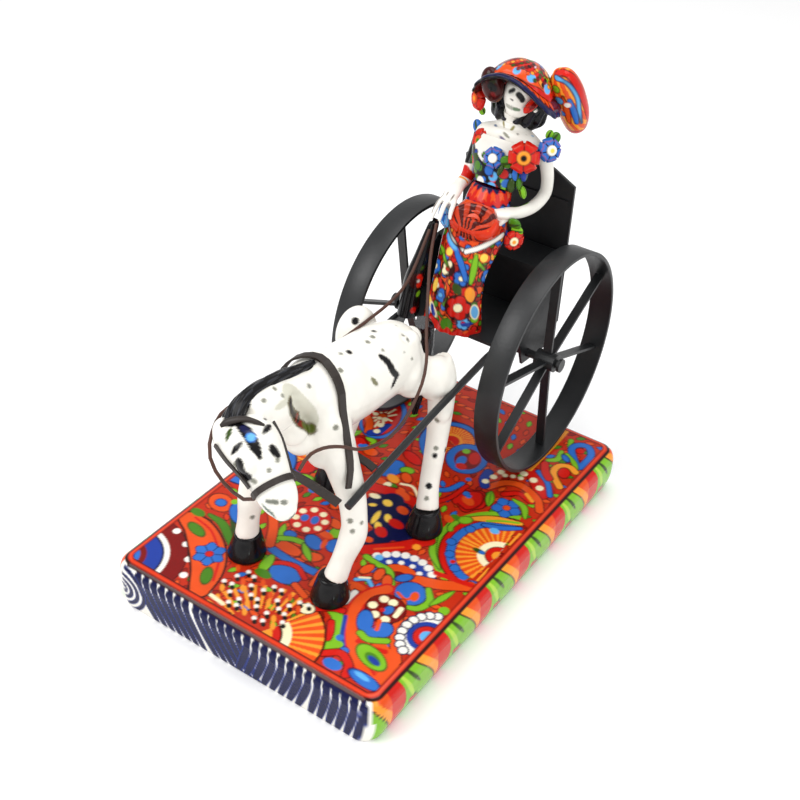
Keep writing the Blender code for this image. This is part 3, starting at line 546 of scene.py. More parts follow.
    # dotted fan on blue
    p.shell((76, -86), ((37, NAVY), (36, COBALT), (22, MAROON), (21, ORANGE), (12, DEEP)), 25, 165)
    p.dots(((43, -70), (53, -60), (65, -53.5), (76, -52), (87, -53), (98, -60)), 8, 4.2, WHITE)
    p.dots(((57, -70), (67, -64), (78, -62), (88, -66)), 4, 2.8, WHITE)
    p.oval((46, -71), (4, 4), SKY)
    p.stroke(((92, -74), (112, -66), (134, -52)), 12, ORANGE, MAROON)
    p.stroke(((100, -56), (118, -53), (134, -50)), 6, RED)
    p.stroke(((36, -77), (50, -79), (64, -80), (75, -92)), 6, LIME, MOSS)
    for place, turn in (((46, -90), 75), ((59, -89), 100), ((70, -92), 120)):
        p.oval(place, (8, 4.6), ORANGE, turn, MAROON)
    p.stroke(((46, -107), (54, -101), (62, -105)), 4, SKY, NAVY)
    p.stroke(((47, -103), (55, -98)), 2.4, CREAM)
    p.oval((53, -113), (9, 3.6), ORANGE)
    p.stroke(((55, -121), (55, -136)), 6, WHITE, MAROON)
    # blue curl with leaves
    p.oval((96, -92), (14.5, 14), BLUE, -20, NAVY)
    p.oval((101, -93), (4, 6), ORANGE, 20)
    p.stroke(((86, -98), (96, -101), (100, -96)), 3, ORANGE)
    p.stroke(((106, -78), (115, -90), (112, -103), (103, -108)), 6.5, LIME, MOSS, taper=0.3)
    p.leaf((126, -66), (118, -94), 6, LIME, MOSS)
    p.oval((132, -92), (5, 5), LIME)
    p.oval((80, -79), (8, 4.4), BLUE, 50, NAVY)
    p.dab((126, -99), 3, ORANGE)
    # big paisley of the front corner
    p.stroke(((76, -100), (66, -118), (68, -140), (88, -170), (114, -190), (132, -199)), 10,
             ORANGE, RED, 2.2)
    p.stroke(((96, -106), (106, -126), (116, -146), (132, -166)), 8, ORANGE, MAROON)
    p.stroke(((110, -160), (132, -172), (132, -192)), 12, ORANGE)
    p.oval((89, -121), (18, 17), DEEP, 0, MAROON)
    for place in ((81, -112), (90, -111), (77, -124), (85, -132.5), (96, -132)):
        p.dab(place, 4.3, CREAM)
    p.stroke(((100, -113), (101, -123)), 5, CREAM)
    p.oval((92, -121), (4, 5.6), BLUE, 0, NAVY)
    p.dab((87, -124), 2.6, RED)
    p.oval((83, -144), (7, 13), BLUE, 32, NAVY)
    p.oval((102, -143), (8, 9), BLUE, 0, NAVY)
    p.oval((94, -152), (9, 5), BLUE, 0)
    p.stroke(((93, -136), (97, -146)), 4, ORANGE)
    p.stroke(((88, -158), (98, -160), (112, -152)), 6, LIME, MOSS)
    p.stroke(((92, -167), (106, -166), (118, -163)), 5, RED)
    p.oval((112, -175), (17, 9), LIME, -18, MOSS)
    p.oval((114, -176), (9, 5), GREEN, -18)
    p.oval((116, -177), (7, 3), COBALT, -15)
    # dotted ring at the edge
    p.shell((137, -127), ((27, NAVY), (25.5, WHITE), (18, COBALT), (13, MAROON), (12, RED),
                          (6.5, SKY)), 90, 270)
    for turn in range(105, 262, 18):
        c, s = math.cos(math.radians(turn)), math.sin(math.radians(turn))
        p.dab((137 + 22 * c, -127 + 27 * s), 4.0, WHITE, NAVY, 1.4)
    # front corner lines
    p.stroke(((52, -150), (62, -156), (72, -176), (78, -188)), 10, LIME, MOSS)
    p.stroke(((66, -150), (76, -168), (86, -180)), 4, COBALT)
    p.stroke(((60, -163), (66, -172), (69, -180)), 6, RED, MAROON)
    p.dab((77, -173), 3.6, BLUE)
    p.dab((81, -180), 4, LIME)
    p.dab((89, -183), 4, BLUE, NAVY)
    p.stroke(((76, -196), (88, -187), (101, -193), (106, -204)), 7, RED, MAROON)
    p.oval((90, -201), (9, 6), BLUE, 0)
    p.oval((122, -199), (16, 6), BLUE, -6, NAVY)
    p.oval((118, -197), (8, 2.5), SKY, -6)
    # shell at the front edge
    p.shell((16, -214), ((62, MAROON), (60, ORANGE), (32, CREAM), (24, MAROON), (22, RED),
                         (15, AMBER)), 4, 64, (1, 9))
    p.stroke(((28, -168), (50, -150), (60, -146)), 6, RED, MAROON)
    p.oval((33, -163), (7, 6), CREAM, 20, BLACK)
    # speckled patch
    for row in range(5):
        for column in range(9):
            x = -49 + column * 10.2 + (5.1 if row % 2 else 0) + 1.3 * math.sin(column * 2.1 + row)
            y = -160 - row * 9.6 + 1.4 * math.sin(column * 1.7 + row * 2.3)
            if x > 36 - row * 3:
                continue
            kind = (column + 2 * row) % 3
            if kind == 0:
                p.oval((x, y), (4.6, 2.2), AMBER if row > 1 else ORANGE, -52)
            else:
                p.oval((x, y), (2.7, 2.2), WHITE, -45)
                p.oval((x + 3.2, y - 3.2), (2.8, 2.3), BLACK, -45)
    p.stroke(((-46, -201), (-30, -203)), 4, CREAM)
    # blue half flower and leaves between the hooves
    p.oval((-30, -112), (16, 7), ORANGE, 0, MAROON)
    p.oval((-4, -108), (10, 6), ORANGE, 30, MAROON)
    p.stroke(((-40, -122), (-16, -124), (14, -122)), 8, BLUE, NAVY)
    p.oval((-10, -139), (16, 13), BLUE, 0, NAVY)
    p.stroke(((-30, -138), (-20, -130), (-6, -127), (8, -134)), 5, RED, MAROON)
    p.stroke(((14, -112), (18, -136)), 6, ORANGE, MAROON)
    p.stroke(((6, -146), (22, -152)), 6, ORANGE, MAROON)
    p.stroke(((-34, -130), (-30, -150)), 10, LIME, MOSS, taper=0.5)
    p.oval((-26, -152), (9, 5), GREEN, 0)
    p.leaf((-52, -88), (-42, -112), 7, LIME, MOSS)
    p.oval((-39, -96), (6, 5), BLUE, 0, NAVY)
    p.stroke(((-44, -106), (-34, -100), (-24, -98)), 6, LIME, MOSS)
    p.leaf((-22, -98), (-2, -113), 6, LIME, MOSS)
    p.oval((-15, -91), (11, 7), BLUE, -25, NAVY)
    p.oval((4, -83), (8, 9), BLUE, 10, NAVY)
    p.oval((-6, -87), (2.6, 7), ORANGE, 15)
    p.oval((-6, -68), (6, 7), LIME, 20, MOSS)
    p.oval((-14, -58), (8, 5), ORANGE, -20, MAROON)
    p.oval((-12, -76), (8, 4), ORANGE, 0)
    p.stroke(((-72, -82), (-58, -98), (-46, -118)), 9, ORANGE, MAROON)
    p.oval((-37, -68), (20, 20), RED, 0, MAROON)
    for turn in range(0, 360, 45):
        c, s = math.cos(math.radians(turn + 22)), math.sin(math.radians(turn + 22))
        p.dab((-37 + 14.5 * c, -68 + 14.5 * s), 3.6, CREAM)
    p.oval((-43, -69), (4, 5), BLUE, 20)
    p.oval((-33, -66), (4, 6), BLUE, 20)
    # left of the near rear hoof: orange arch and drops below the head
    p.stroke(((-74, -14), (-58, -12), (-44, -22), (-30, -38)), 9, ORANGE, MAROON)
    p.dab((-62, -32), 4.4, BLUE)
    p.dab((-46, -30), 4.4, LIME)
    p.oval((-80, -22), (9, 5), LIME, 20, MOSS)
    p.oval((-90, -8), (10, 10), RED, 0, MAROON)
    p.oval((-62, 4), (12, 5), NAVY, -20)
    p.oval((-66, 3), (6, 2.4), SKY, -20)
    # front left corner
    p.shell((-146, -212), ((62, MAROON), (61, DEEP), (45, WHITE), (40, NAVY), (38, COBALT),
                           (24, DEEP), (18, BLUE), (6, NAVY)), 0, 92)
    p.dots(((-127, -157), (-104, -167), (-90, -182), (-82, -197)), 4, 3.8, WHITE)
    p.stroke(((-130, -137), (-112, -142), (-88, -158), (-70, -178), (-58, -202)), 32, ORANGE,
             MAROON, 2.0, 0.45)
    p.stroke(((-126, -132), (-100, -138), (-72, -160), (-56, -186)), 2.4, RED)
    p.oval((-114, -144), (11, 5), GREEN, -15, MOSS)
    p.blossom((-82, -162), 13.5, 6, BLUE, RED, NAVY, 0.27)
    p.oval((-65, -185), (5, 10), GREEN, 30, MOSS)
    p.oval((-129, -125), (8, 5), GREEN, 0)
    p.stroke(((-118, -121), (-98, -124), (-72, -142)), 8, GREEN, MOSS, taper=0.6)
    p.stroke(((-100, -110), (-84, -124), (-66, -136)), 6, MOSS, None, taper=0.5)
    p.oval((-121, -101), (14, 11), ORANGE, -20, MAROON)
    p.oval((-121, -101), (5.5, 5), BLUE, 0, NAVY)
    p.oval((-97, -103), (15, 8), BLUE, -38, NAVY)
    p.dab((-93, -104), 3, ORANGE)
    p.dab((-111, -92), 3.8, LIME)
    p.oval((-100, -88), (10, 5), RED, -30)
    # far front edge of the hidden side
    p.shell((-136, -30), ((42, NAVY), (40, BLUE), (32, MAROON), (30, ORANGE), (14, CREAM),
                          (9, RED)), -90, 90, (3, 9))
    # border line: a raised red line with dark outlines each side and a lighter painted highlight
    # along its crest
    x, y = np.abs(at[:, 0]), np.abs(at[:, 1])
    corner = 10.0
    edge = np.minimum(140 - x, 211.5 - y)
    cx, cy = x - (140 - corner), y - (211.5 - corner)
    both = (cx > 0) & (cy > 0)
    edge[both] = corner - np.hypot(cx[both], cy[both])
    rows = np.arange(len(at))
    p.lay(rows, 6.0 - np.abs(edge + 2.5), MAROON)
    p.lay(rows, 2.1 - np.abs(edge - 0.4), tint(204, 44, 18))
    # painted highlight along the crest of the raised border line
    p.lay(rows, 0.7 - np.abs(edge - 0.4), tint(224, 72, 30))
    return p.colour, edge


def paint_side(u, z, kind):
    """The slab's edge: leaf and petal frieze, or cobalt brush strokes."""
    at = np.stack((u, z), axis=1)
    if kind == "petals":
        p = Paint(at, LIME, 1.2)
        rows = np.arange(len(at))
        for k in range(-4, 4):
            c = 18.0 + 70.0 * k
            t = (52.0 - z) / 42.0
            left = c - 36 + 30 * t + 4 * np.sin(t * 3.0)
            fold = c - 6 + 3 * t
            right = c + 9 + 7 * np.sin(np.clip(t, 0, 1.2) * 2.4)
            p.lay(rows, np.minimum(u - left + 2.0, right - u), MAROON)
            p.lay(rows, np.minimum(u - left, right - u - 1), AMBER)
            p.lay(rows, np.minimum(u - left - 10, right - u - 1), ORANGE)
            p.lay(rows, np.minimum(u - fold, right - u), RED)
            p.stroke(((c + 22, 52), (c + 30, 40), (c + 38, 28)), 4, MOSS, None, taper=0.8)
            p.stroke(((c + 14, 52), (c + 22, 34), (c + 30, 16)), 5, tint(170, 205, 70), None,
                     taper=0.7)
            p.stroke(((c + 24, 16), (c + 34, 8), (c + 40, 4)), 8, RED, MAROON, taper=0.6)
            p.dab((c + 31, 17), 2.4, BLACK)
        return p.colour
    p = Paint(at, WHITE, 1.2)
    for first, count, lean in ((-116, 7, 20), (-46, 6, 22), (13, 8, -12), (90, 6, -8)):
        for place in first + 9.6 * np.arange(count):
            p.stroke(((place - 2, 45), (place + lean * 0.1, 34), (place + lean * 0.45, 20),
                      (place + lean, 2)), 8.2, NAVY, COBALT, 0.5, 0.35)
            p.dab((place - 2, 43), 4.4, NAVY)
    p.stroke(((-52, 46), (-20, 47.5), (12, 46)), 4, NAVY, None, taper=0.5)
    p.stroke(((84, 47), (104, 46), (130, 47)), 4, NAVY, None, taper=0.6)
    for radius in (28, 20, 12.5, 5.5):
        p.stroke([(-139 + radius * math.cos(math.radians(turn)),
                   21 + radius * 0.86 * math.sin(math.radians(turn)))
                  for turn in range(-70, 100, 17)], 4.2, NAVY, COBALT, 0.4, 0.3)
    p.stroke(((-160, 8), (-157, 24), (-152, 40)), 5, NAVY, None, taper=0.5)
    return p.colour


def rounded(grid_x, grid_y, half_x, half_y, corner):
    """Move a square grid's points so that its corners become round."""
    x, y = grid_x.copy(), grid_y.copy()
    cx = np.abs(x) - (half_x - corner)
    cy = np.abs(y) - (half_y - corner)
    zone = (cx > 0) & (cy > 0)
    a, b = cx[zone] / corner, cy[zone] / corner
    big = np.maximum(a, b)
    low = np.minimum(a, b)
    turn = np.where(a >= b, low / np.maximum(big, 1e-9) * math.pi / 4,
                    math.pi / 2 - low / np.maximum(big, 1e-9) * math.pi / 4)
    x[zone] = np.sign(x[zone]) * (half_x - corner + corner * big * np.cos(turn))
    y[zone] = np.sign(y[zone]) * (half_y - corner + corner * big * np.sin(turn))
    return x, y


def build_slab():
    """A painted top on a painted hollow wall."""
    half_x, half_y, corner = 150.0, 221.0, 18.0
    inset = 12.5
    columns, lines = 222, 334
    hx, hy, hc = half_x - inset, half_y - inset, corner - inset
    gx, gy = np.meshgrid(np.linspace(-hx, hx, columns + 1), np.linspace(-hy, hy, lines + 1))
    gx, gy = rounded(gx, gy, hx, hy, hc)
    flat = np.stack((gx.ravel(), gy.ravel(), np.full(gx.size, 50.0)), axis=1)
    faces = []
    wide = columns + 1
    for row in range(lines):
        a = row * wide
        for col in range(columns):
            faces.append((a + col, a + col + 1, a + col + 1 + wide, a + col + wide))
    border = [c for c in range(columns)]
    border += [r * wide + columns for r in range(lines)]
    border += [lines * wide + c for c in range(columns, 0, -1)]
    border += [r * wide for r in range(lines, 0, -1)]
    count = len(border)
    rim = flat[border]
    core = np.clip(rim[:, :2], (-(hx - hc), -(hy - hc)), ((hx - hc), (hy - hc)))
    way = rim[:, :2] - core
    way /= np.maximum(np.linalg.norm(way, axis=1), 1e-9)[:, None]
    profile = spline(((12.5, 50.0), (8.4, 49.3), (4.6, 47.0), (1.6, 43.0), (0.0, 37.0)), 13)[1:]
    profile[:, 0] = np.clip(profile[:, 0], 0.0, 12.5)
    rings = [np.column_stack((core + way * (corner - depth), np.full(count, level)))
             for depth, level in profile]
    inner = [np.column_stack((core + way * (corner - depth), np.full(count, level)))
             for depth, level in ((6.0, 37.0), (17.0, 37.2))]
    verts = [flat]
    start = len(flat)
    previous = np.array(border)
    for ring in rings + inner:
        verts.append(ring)
        here = np.arange(start, start + count)
        for step in range(count):
            follow = (step + 1) % count
            faces.append((previous[step], previous[follow], here[follow], here[step]))
        previous = here
        start += count
    verts.append(np.array(((0.0, 0.0, 37.2),)))
    for step in range(count):
        faces.append((previous[step], previous[(step + 1) % count], start))
    verts = np.vstack(verts)
    colours, edge = paint_top(verts[:, :2])
    # the frieze starts outside the border line
    side_of = wall_side(verts)
    outside = edge < -5.0
    outside[-1] = False
    for kind, mask in side_of.items():
        rows = np.nonzero(mask & outside)[0]
        colours[rows] = paint_side(wall_run(verts[rows], kind), verts[rows, 2], WALL_KIND[kind])
    verts[:len(flat), 2] += 0.5 * np.exp(-((edge[:len(flat)] - 0.2) / 2.6) ** 2)
    piece("Slab_top", verts, faces, PAINTED, "floral_glaze", colours, ("base_slab",))
    # wall
    outer_line = np.column_stack((core + way * corner, np.zeros(count)))
    inner_line = np.column_stack((core + way * (corner - 14.0), np.zeros(count)))
    rings = []
    for level in np.linspace(1.5, 36.9, 28):
        ring = outer_line.copy()
        ring[:, 2] = level
        rings.append(ring)
    low = np.column_stack((core + way * (corner - 1.2), np.zeros(count)))
    top = inner_line.copy()
    top[:, 2] = 36.9
    rings = [low] + rings + [top, inner_line, low]
    verts, faces = skin(rings[:-1], cap=False)
    last = (len(rings) - 2) * count
    for step in range(count):
        follow = (step + 1) % count
        faces.append((last + step, last + follow, follow, step))
    tuck = 6.0 * np.clip(1 - verts[:, 2] / 26.0, 0, 1) ** 2
    tuck *= np.clip((np.abs(verts[:, 0]) - 110) / 40, 0, 1)
    verts[:, 0] -= np.sign(verts[:, 0]) * tuck
    colours = np.tile(WHITE * 0.55, (len(verts), 1))
    side_of = wall_side(verts)
    for kind, mask in side_of.items():
        rows = np.nonzero(mask)[0]
        rows = rows[rows < last - count]
        colours[rows] = paint_side(wall_run(verts[rows], kind), verts[rows, 2], WALL_KIND[kind])
    piece("Slab_wall", verts, faces, PAINTED, "floral_glaze", colours, ())


WALL_KIND = {"front": "strokes", "back": "strokes", "left": "petals", "right": "petals"}


def wall_side(verts):
    """Which of the four sides each point belongs to, split at the corners' middles."""
    x, y = verts[:, 0], verts[:, 1]
    cx, cy = np.abs(x) - 132.0, np.abs(y) - 203.0
    end = cy > cx
    return {"front": end & (y < 0), "back": end & (y >= 0),
            "left": ~end & (x < 0), "right": ~end & (x >= 0)}


def wall_run(verts, kind):
    """Distance along a side; a corner's arc is laid out flat."""
    long = {"front": (0, 1), "back": (0, -1), "left": (1, -1), "right": (1, 1)}[kind]
    axis, sign = long
    half = (132.0, 203.0)[axis]
    other = (203.0, 132.0)[axis]
    run = verts[:, axis].copy()
    past = np.abs(run) - half
    bend = np.abs(verts[:, 1 - axis]) - other
    arc = past > 0
    angle = np.arctan2(past[arc], np.maximum(bend[arc], 1e-6))
    run[arc] = np.sign(run[arc]) * (half + 18.0 * angle)
    return run * sign


build_slab()


# ------------------------------------------------------------------ reins first
REIN_LEFT = ((58, -204, 248), (56, -193, 251), (54, -180, 249), (52, -160, 240),
             (51, -138, 226), (49, -115, 208), (48, -90, 195), (48, -65, 190),
             (48, -45, 194), (46, -25, 204), (43, -8, 217), (37, 5, 232), (29, 15, 244),
             (19, 30, 254), (5, 52, 265), (-10, 76, 277), (-20, 95, 288), (-27, 111, 298))
REIN_RIGHT = ((43, -240, 236), (32, -241, 231), (20, -240, 233), (10, -241, 241),
              (1, -240, 252), (-6, -233, 262), (-13, -219, 267), (-19, -204, 267),
              (-23, -184, 263), (-26, -160, 258), (-27, -136, 255), (-27, -112, 254),
              (-25, -92, 253), (-24, -68, 251), (-23, -44, 249.5), (-23, -20, 249.5),
              (-23, 5, 250), (-23, 30, 251.5), (-24, 55, 256), (-27, 78, 268), (-30, 104, 294))


def rein(name, route, node):
    points = (spline(route, 40) + PLACE) * MM
    curve = bpy.data.curves.new(name, "CURVE")
    curve.dimensions = "3D"
    line = curve.splines.new("POLY")
    line.points.add(len(points) - 1)
    for knot, place in zip(line.points, points):
        knot.co = (*place, 1.0)
    curve.bevel_depth = 0.0015
    curve.bevel_resolution = 4
    curve.use_fill_caps = True
    curve.materials.append(CORD)
    made = bpy.data.objects.new(name, curve)
    bpy.context.collection.objects.link(made)
    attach(made, BODY)
    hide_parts(node)


rein("Rein_left", REIN_LEFT, "rein_left")
rein("Rein_right", REIN_RIGHT, "rein_right")


# ------------------------------------------------------------------ horse
HEAD_TURN = math.radians(71.0)
ACROSS_HEAD = (math.cos(HEAD_TURN), math.sin(HEAD_TURN), 0.0)
TORSO = (((-6, -131, 247), 9, 10), ((-6, -127, 246), 19, 19), ((-5, -119, 242), 27, 27),
         ((-4, -106, 236), 33, 34), ((-3, -88, 230), 34, 38), ((-2, -62, 225), 33, 38),
         ((-1, -30, 223), 33, 36), ((0, 0, 220), 32, 33), ((1, 16, 216), 26, 27),
         ((2, 27, 213), 17, 17), ((2, 33, 211), 8, 8))
NECK = (((-6, -114, 242), 20, 23), ((-6, -128, 246), 20, 23), ((-6, -146, 250), 19, 23),
        ((-5, -166, 254), 19, 24), ((-3, -184, 257), 18, 23), ((0, -198, 260), 16, 19))
HEAD = (((-5, -205, 269), 11, 6), ((0, -209, 267), 20, 12), ((11, -213, 264), 25, 18),
        ((24, -217, 260), 24, 20), ((37, -221, 252), 20, 18), ((48, -225, 244), 17, 15),
        ((57, -228, 237), 16, 14), ((64, -230, 230), 12, 10), ((68, -231, 226), 6, 5))
LEGS = (
    (((16, -110, 238), 12, 15), ((22, -111, 214), 14, 17), ((30, -112, 186), 14, 17),
     ((42, -112, 152), 12, 14), ((48, -115, 128), 11, 13), ((49, -118, 114), 12, 13),
     ((46, -128, 92), 10, 11), ((43, -135, 73), 11, 12)),
    (((-22, -112, 238), 12, 15), ((-30, -116, 212), 14, 17), ((-37, -122, 186), 14, 17),
     ((-49, -129, 152), 12, 14), ((-53, -132, 128), 11, 13), ((-54, -133, 114), 12, 13),
     ((-55, -136, 92), 10, 11), ((-56, -138, 73), 11, 12)),
    (((34, 26, 212), 13, 18), ((39, 29, 196), 13, 18), ((41, 29, 172), 12, 15),
     ((43, 25, 150), 11, 13), ((46, 17, 128), 10, 11.5), ((51, 2, 96), 9.5, 10.5),
     ((57, -9, 73), 11, 12)),
    (((-32, 4, 222), 14, 20), ((-37, 8, 206), 14, 20), ((-40, 12, 178), 13, 17),
     ((-44, 12, 150), 12, 14), ((-47, 8, 128), 11, 13), ((-51, -2, 96), 10, 11),
     ((-54, -9, 73), 11, 12)))
HIPS = (((37, 22, 199), (15, 20, 22)), ((-36, -1, 229), (17, 23, 28)))
HOOVES = (("front_left", 40, -138), ("front_right", -56, -139), ("rear_left", 57, -12),
          ("rear_right", -54, -12))


def shaped(made):
    """Read the object as its modifiers leave it, then remove it."""
    deps = bpy.context.evaluated_depsgraph_get()
    whole = made.evaluated_get(deps).to_mesh()
    points = np.empty(len(whole.vertices) * 3)
    whole.vertices.foreach_get("co", points)
    faces = [tuple(face.vertices) for face in whole.polygons]
    made.evaluated_get(deps).to_mesh_clear()
    bpy.data.objects.remove(made, do_unlink=True)
    return points.reshape(-1, 3), faces


def loose(name, verts, faces, outward=False):
    """A plain object to put modifiers on."""
    mesh = bpy.data.meshes.new(name)
    mesh.from_pydata(np.asarray(verts).tolist(), [], faces)
    if outward:
        builder = bmesh.new()
        builder.from_mesh(mesh)
        bmesh.ops.recalc_face_normals(builder, faces=builder.faces)
        builder.to_mesh(mesh)
        builder.free()
    made = bpy.data.objects.new(name, mesh)
    bpy.context.collection.objects.link(made)
    return made


def melted(parts, voxel, rounds, name):
    """One skin over overlapping closed shapes, lightly smoothed; points in mm."""
    verts, faces, _ = merge([(v, f, np.zeros((len(v), 3))) for v, f in parts])
    made = loose(name, verts * MM, faces, outward=True)
    step = made.modifiers.new("skin", "REMESH")
    step.mode = "VOXEL"
    step.voxel_size = voxel * MM
    soft = made.modifiers.new("soft", "SMOOTH")
    soft.factor = 0.5
    soft.iterations = rounds
    points, faces = shaped(made)
    return points / MM, faces


def refine(verts, faces, cuts):
    """Split each face smoothly (one closed body stays one)."""
    made = loose("form", verts, faces)
    made.modifiers.new("fine", "SUBSURF").levels = cuts
    return shaped(made)


def build_horse():
    parts = [loft(TORSO, 32)[:2], loft(NECK, 32)[:2], loft(HEAD, 32, across=ACROSS_HEAD)[:2]]
    for leg in LEGS:
        parts.append(loft(leg, 24)[:2])
    for centre, radii in HIPS:
        parts.append(ball(centre, radii)[:2])
    # breast, shoulders and the swell of the cheeks
    for centre, radii in (((16, -112, 214), (20, 22, 28)), ((-26, -116, 214), (18, 20, 28)),
                          ((-5, -122, 222), (22, 16, 22)), ((30, -206, 252), (13, 12, 14)),
                          ((33, -234, 262), (10, 9, 10)), ((66, -232, 232), (9, 11, 8)),
                          ((2, 33, 224), (10, 8, 11)), ((16, 9, 238), (9, 9, 10)),
                          ((27, 4, 207), (15, 24, 20)), ((16, -6, 214), (16, 24, 18)),
                          ((15, -119, 191), (15, 13, 15)), ((3, -134, 209), (14, 14, 15)),
                          ((3, -143, 224), (13, 13, 14)), ((48, 22, 163), (7, 9, 10))):
        parts.append(ball(centre, radii)[:2])
    verts, faces = melted(parts, 1.7, 8, "horse_form")
    # the fold between throat and breast
    fold = spline(((10, -147, 262), (12, -148, 256), (13, -143, 246), (9, -133, 231),
                   (8, -128, 220)), 24)
    gap = np.linalg.norm(verts[:, None, :] - fold[None, :, :], axis=2).min(axis=1)
    verts[:, 0] -= np.where(verts[:, 0] > 0, 4.0 * np.exp(-(gap / 5.0) ** 2), 0)
    swirl = np.linalg.norm(verts - (20, -2, 250), axis=1)
    verts[:, 2] -= 1.2 * np.exp(-((swirl - 5.5) / 1.6) ** 2)
    p = Paint(verts, WHITE, 0.9)
    # painted shade: a grey-beige wash round the fold and along the neck below the mane
    shade = tint(206, 204, 188)
    p.stroke(((6, -152, 264), (10, -146, 252), (9, -134, 234), (6, -126, 216)), 22, shade, None)
    p.stroke(((10, -154, 266), (11, -166, 267), (11, -175, 268)), 6, shade, None, taper=0.6)
    # painted shadow in the fold: an olive-grey halo and a dark brown slit, whose red and olive
    # lower part stands for the slab seen through the gap
    out = np.array([p.snap(place) for place in fold + (7.0, -5.0, 3.0)])
    p.stroke(out, 10, tint(120, 112, 88), None, smooth=False)
    p.stroke(out[:16], 6.5, tint(34, 26, 20), None, smooth=False)
    p.stroke(out[12:19], 6.5, tint(130, 30, 18), None, smooth=False)
    p.stroke(out[17:], 6.5, tint(84, 96, 34), None, smooth=False)
    # forelock, blaze, brows, eyes, nostrils and mouth, with a painted sheen on the forelock and
    # painted highlights on the blaze and the far eye
    p.stroke(((-6, -198, 280), (-1, -208, 280), (5, -216, 280)), 19, BLACK, None)
    # painted sheen: a blue-grey streak on the black forelock
    p.stroke(((2, -210, 281), (9, -217, 281)), 7, tint(52, 60, 72))
    p.stroke(((10, -219, 282), (24, -223, 279), (32, -226, 275), (40, -229, 268)), 10, BLACK,
             None, taper=0.5)
    # painted highlight: a navy and sky-blue glint on the black blaze
    p.stroke(((18, -221, 281), (27, -223, 279)), 5.5, NAVY)
    p.dab((28, -224, 278), 3.4, SKY, BLUE)
    p.stroke(((44, -217, 271), (46, -217, 265)), 7.5, BLACK)
    p.stroke(((31, -240, 264), (36, -238, 255)), 10.5, BLACK)
    # painted highlight: a grey glint in the far eye
    p.stroke(((33, -240, 262), (35, -240, 259)), 2.2, GREY)
    p.stroke(((25, -231, 276), (21, -238, 268)), 5.4, BLACK, None, taper=0.6)
    p.stroke(((10, -226, 279), (13, -234, 273)), 5.0, MOSS, None, taper=0.6)
    p.stroke(((17, -186, 277), (22, -200, 278)), 5.6, BLACK, None, taper=0.6)
    p.stroke(((28, -201, 276), (32, -216, 277)), 5.6, BLACK, None, taper=0.6)
    for place in ((58, -243, 243), (62, -240, 243), (67, -235, 242)):
        p.stroke((place, (place[0] + 2, place[1] + 1, place[2])), 4.2, GREY)
    p.stroke(((53, -245, 239), (60, -243, 234), (70, -238, 229), (76, -230, 231)), 3.2,
             tint(70, 95, 85))
    # painted spots, a flank mark, and the curl at the root of the tail
    for place, size in (((11, -198, 280), 2.4), ((5, -181, 277), 2.3), ((1, -163, 276), 2.2),
                        ((7, -161, 271), 1.9), ((8, -128, 262), 2.2), ((26, -240, 261), 2.2),
                        ((43, -239, 253), 2.6), ((50, -220, 264), 2.0), ((50, -230, 261), 2.0),
                        ((30, -121, 226), 3.0), ((4, -33, 259), 2.6), ((6, -43, 260), 2.4),
                        ((4, -79, 266), 2.0), ((15, -94, 262), 2.6), ((18, -37, 253), 1.6),
                        ((27, -15, 243), 1.6), ((31, -8, 234), 2.0), ((51, 9, 132), 2.4),
                        ((47, 15, 160), 3.0), ((58, -13, 89), 2.4), ((51, -126, 137), 2.8),
                        ((54, -126, 127), 2.4), ((58, -118, 133), 2.0), ((-46, -141, 100), 2.6),
                        ((16, -2, 251), 2.6), ((21, -1, 247), 2.6), ((5, 3, 255), 2.4)):
        p.dab(place, size, tint(132, 132, 120))
    for place, size in (((-30, -12, 251), 3.6), ((6, -70, 264), 3.0), ((56, 19, 126), 2.6),
                        ((53, 5, 126), 3.0), ((56, -7, 99), 3.2), ((9, -144, 238), 3.0)):
        p.dab(place, size, BLACK)
    for route, width in (
            (((20, -44, 251), (25, -40, 246), (30, -37, 236), (32, -33, 229)), 7.5),
            (((30, -40, 238), (33, -31, 229)), 6.5), (((32, -34, 230), (33, -41, 221)), 5.5)):
        p.stroke(route, width, BLACK, None, taper=0.35)
    p.stroke(((27, -66, 243), (30, -61, 235)), 5, tint(120, 118, 88), None, taper=0.5)
    p.stroke(((-3, -4, 257), (7, 4, 255), (16, 9, 250)), 2.0, tint(120, 120, 112), None, taper=0.5)
    low, high = verts.min(axis=0), verts.max(axis=0)
    for index in range(220):
        spot = (low[0] + (index * SPREAD_ONE) % 1.0 * (high[0] - low[0]),
                -126 + (index * SPREAD_TWO + 0.1) % 1.0 * 160,
                90 + (index * 0.5698 + 0.3) % 1.0 * (high[2] - 96))
        if spot[0] > 6 and spot[2] > 150:
            continue
        p.dab(spot, 1.8 + index % 3 * 0.7, (GREY, BLACK, tint(70, 70, 66))[index % 3])
    glazed("Horse_body", verts, faces, "white_glaze", p.colour,
          ("horse_torso", "horse_neck", "horse_head", "horse_leg_front_left",
           "horse_leg_front_right", "horse_leg_rear_left", "horse_leg_rear_right"))


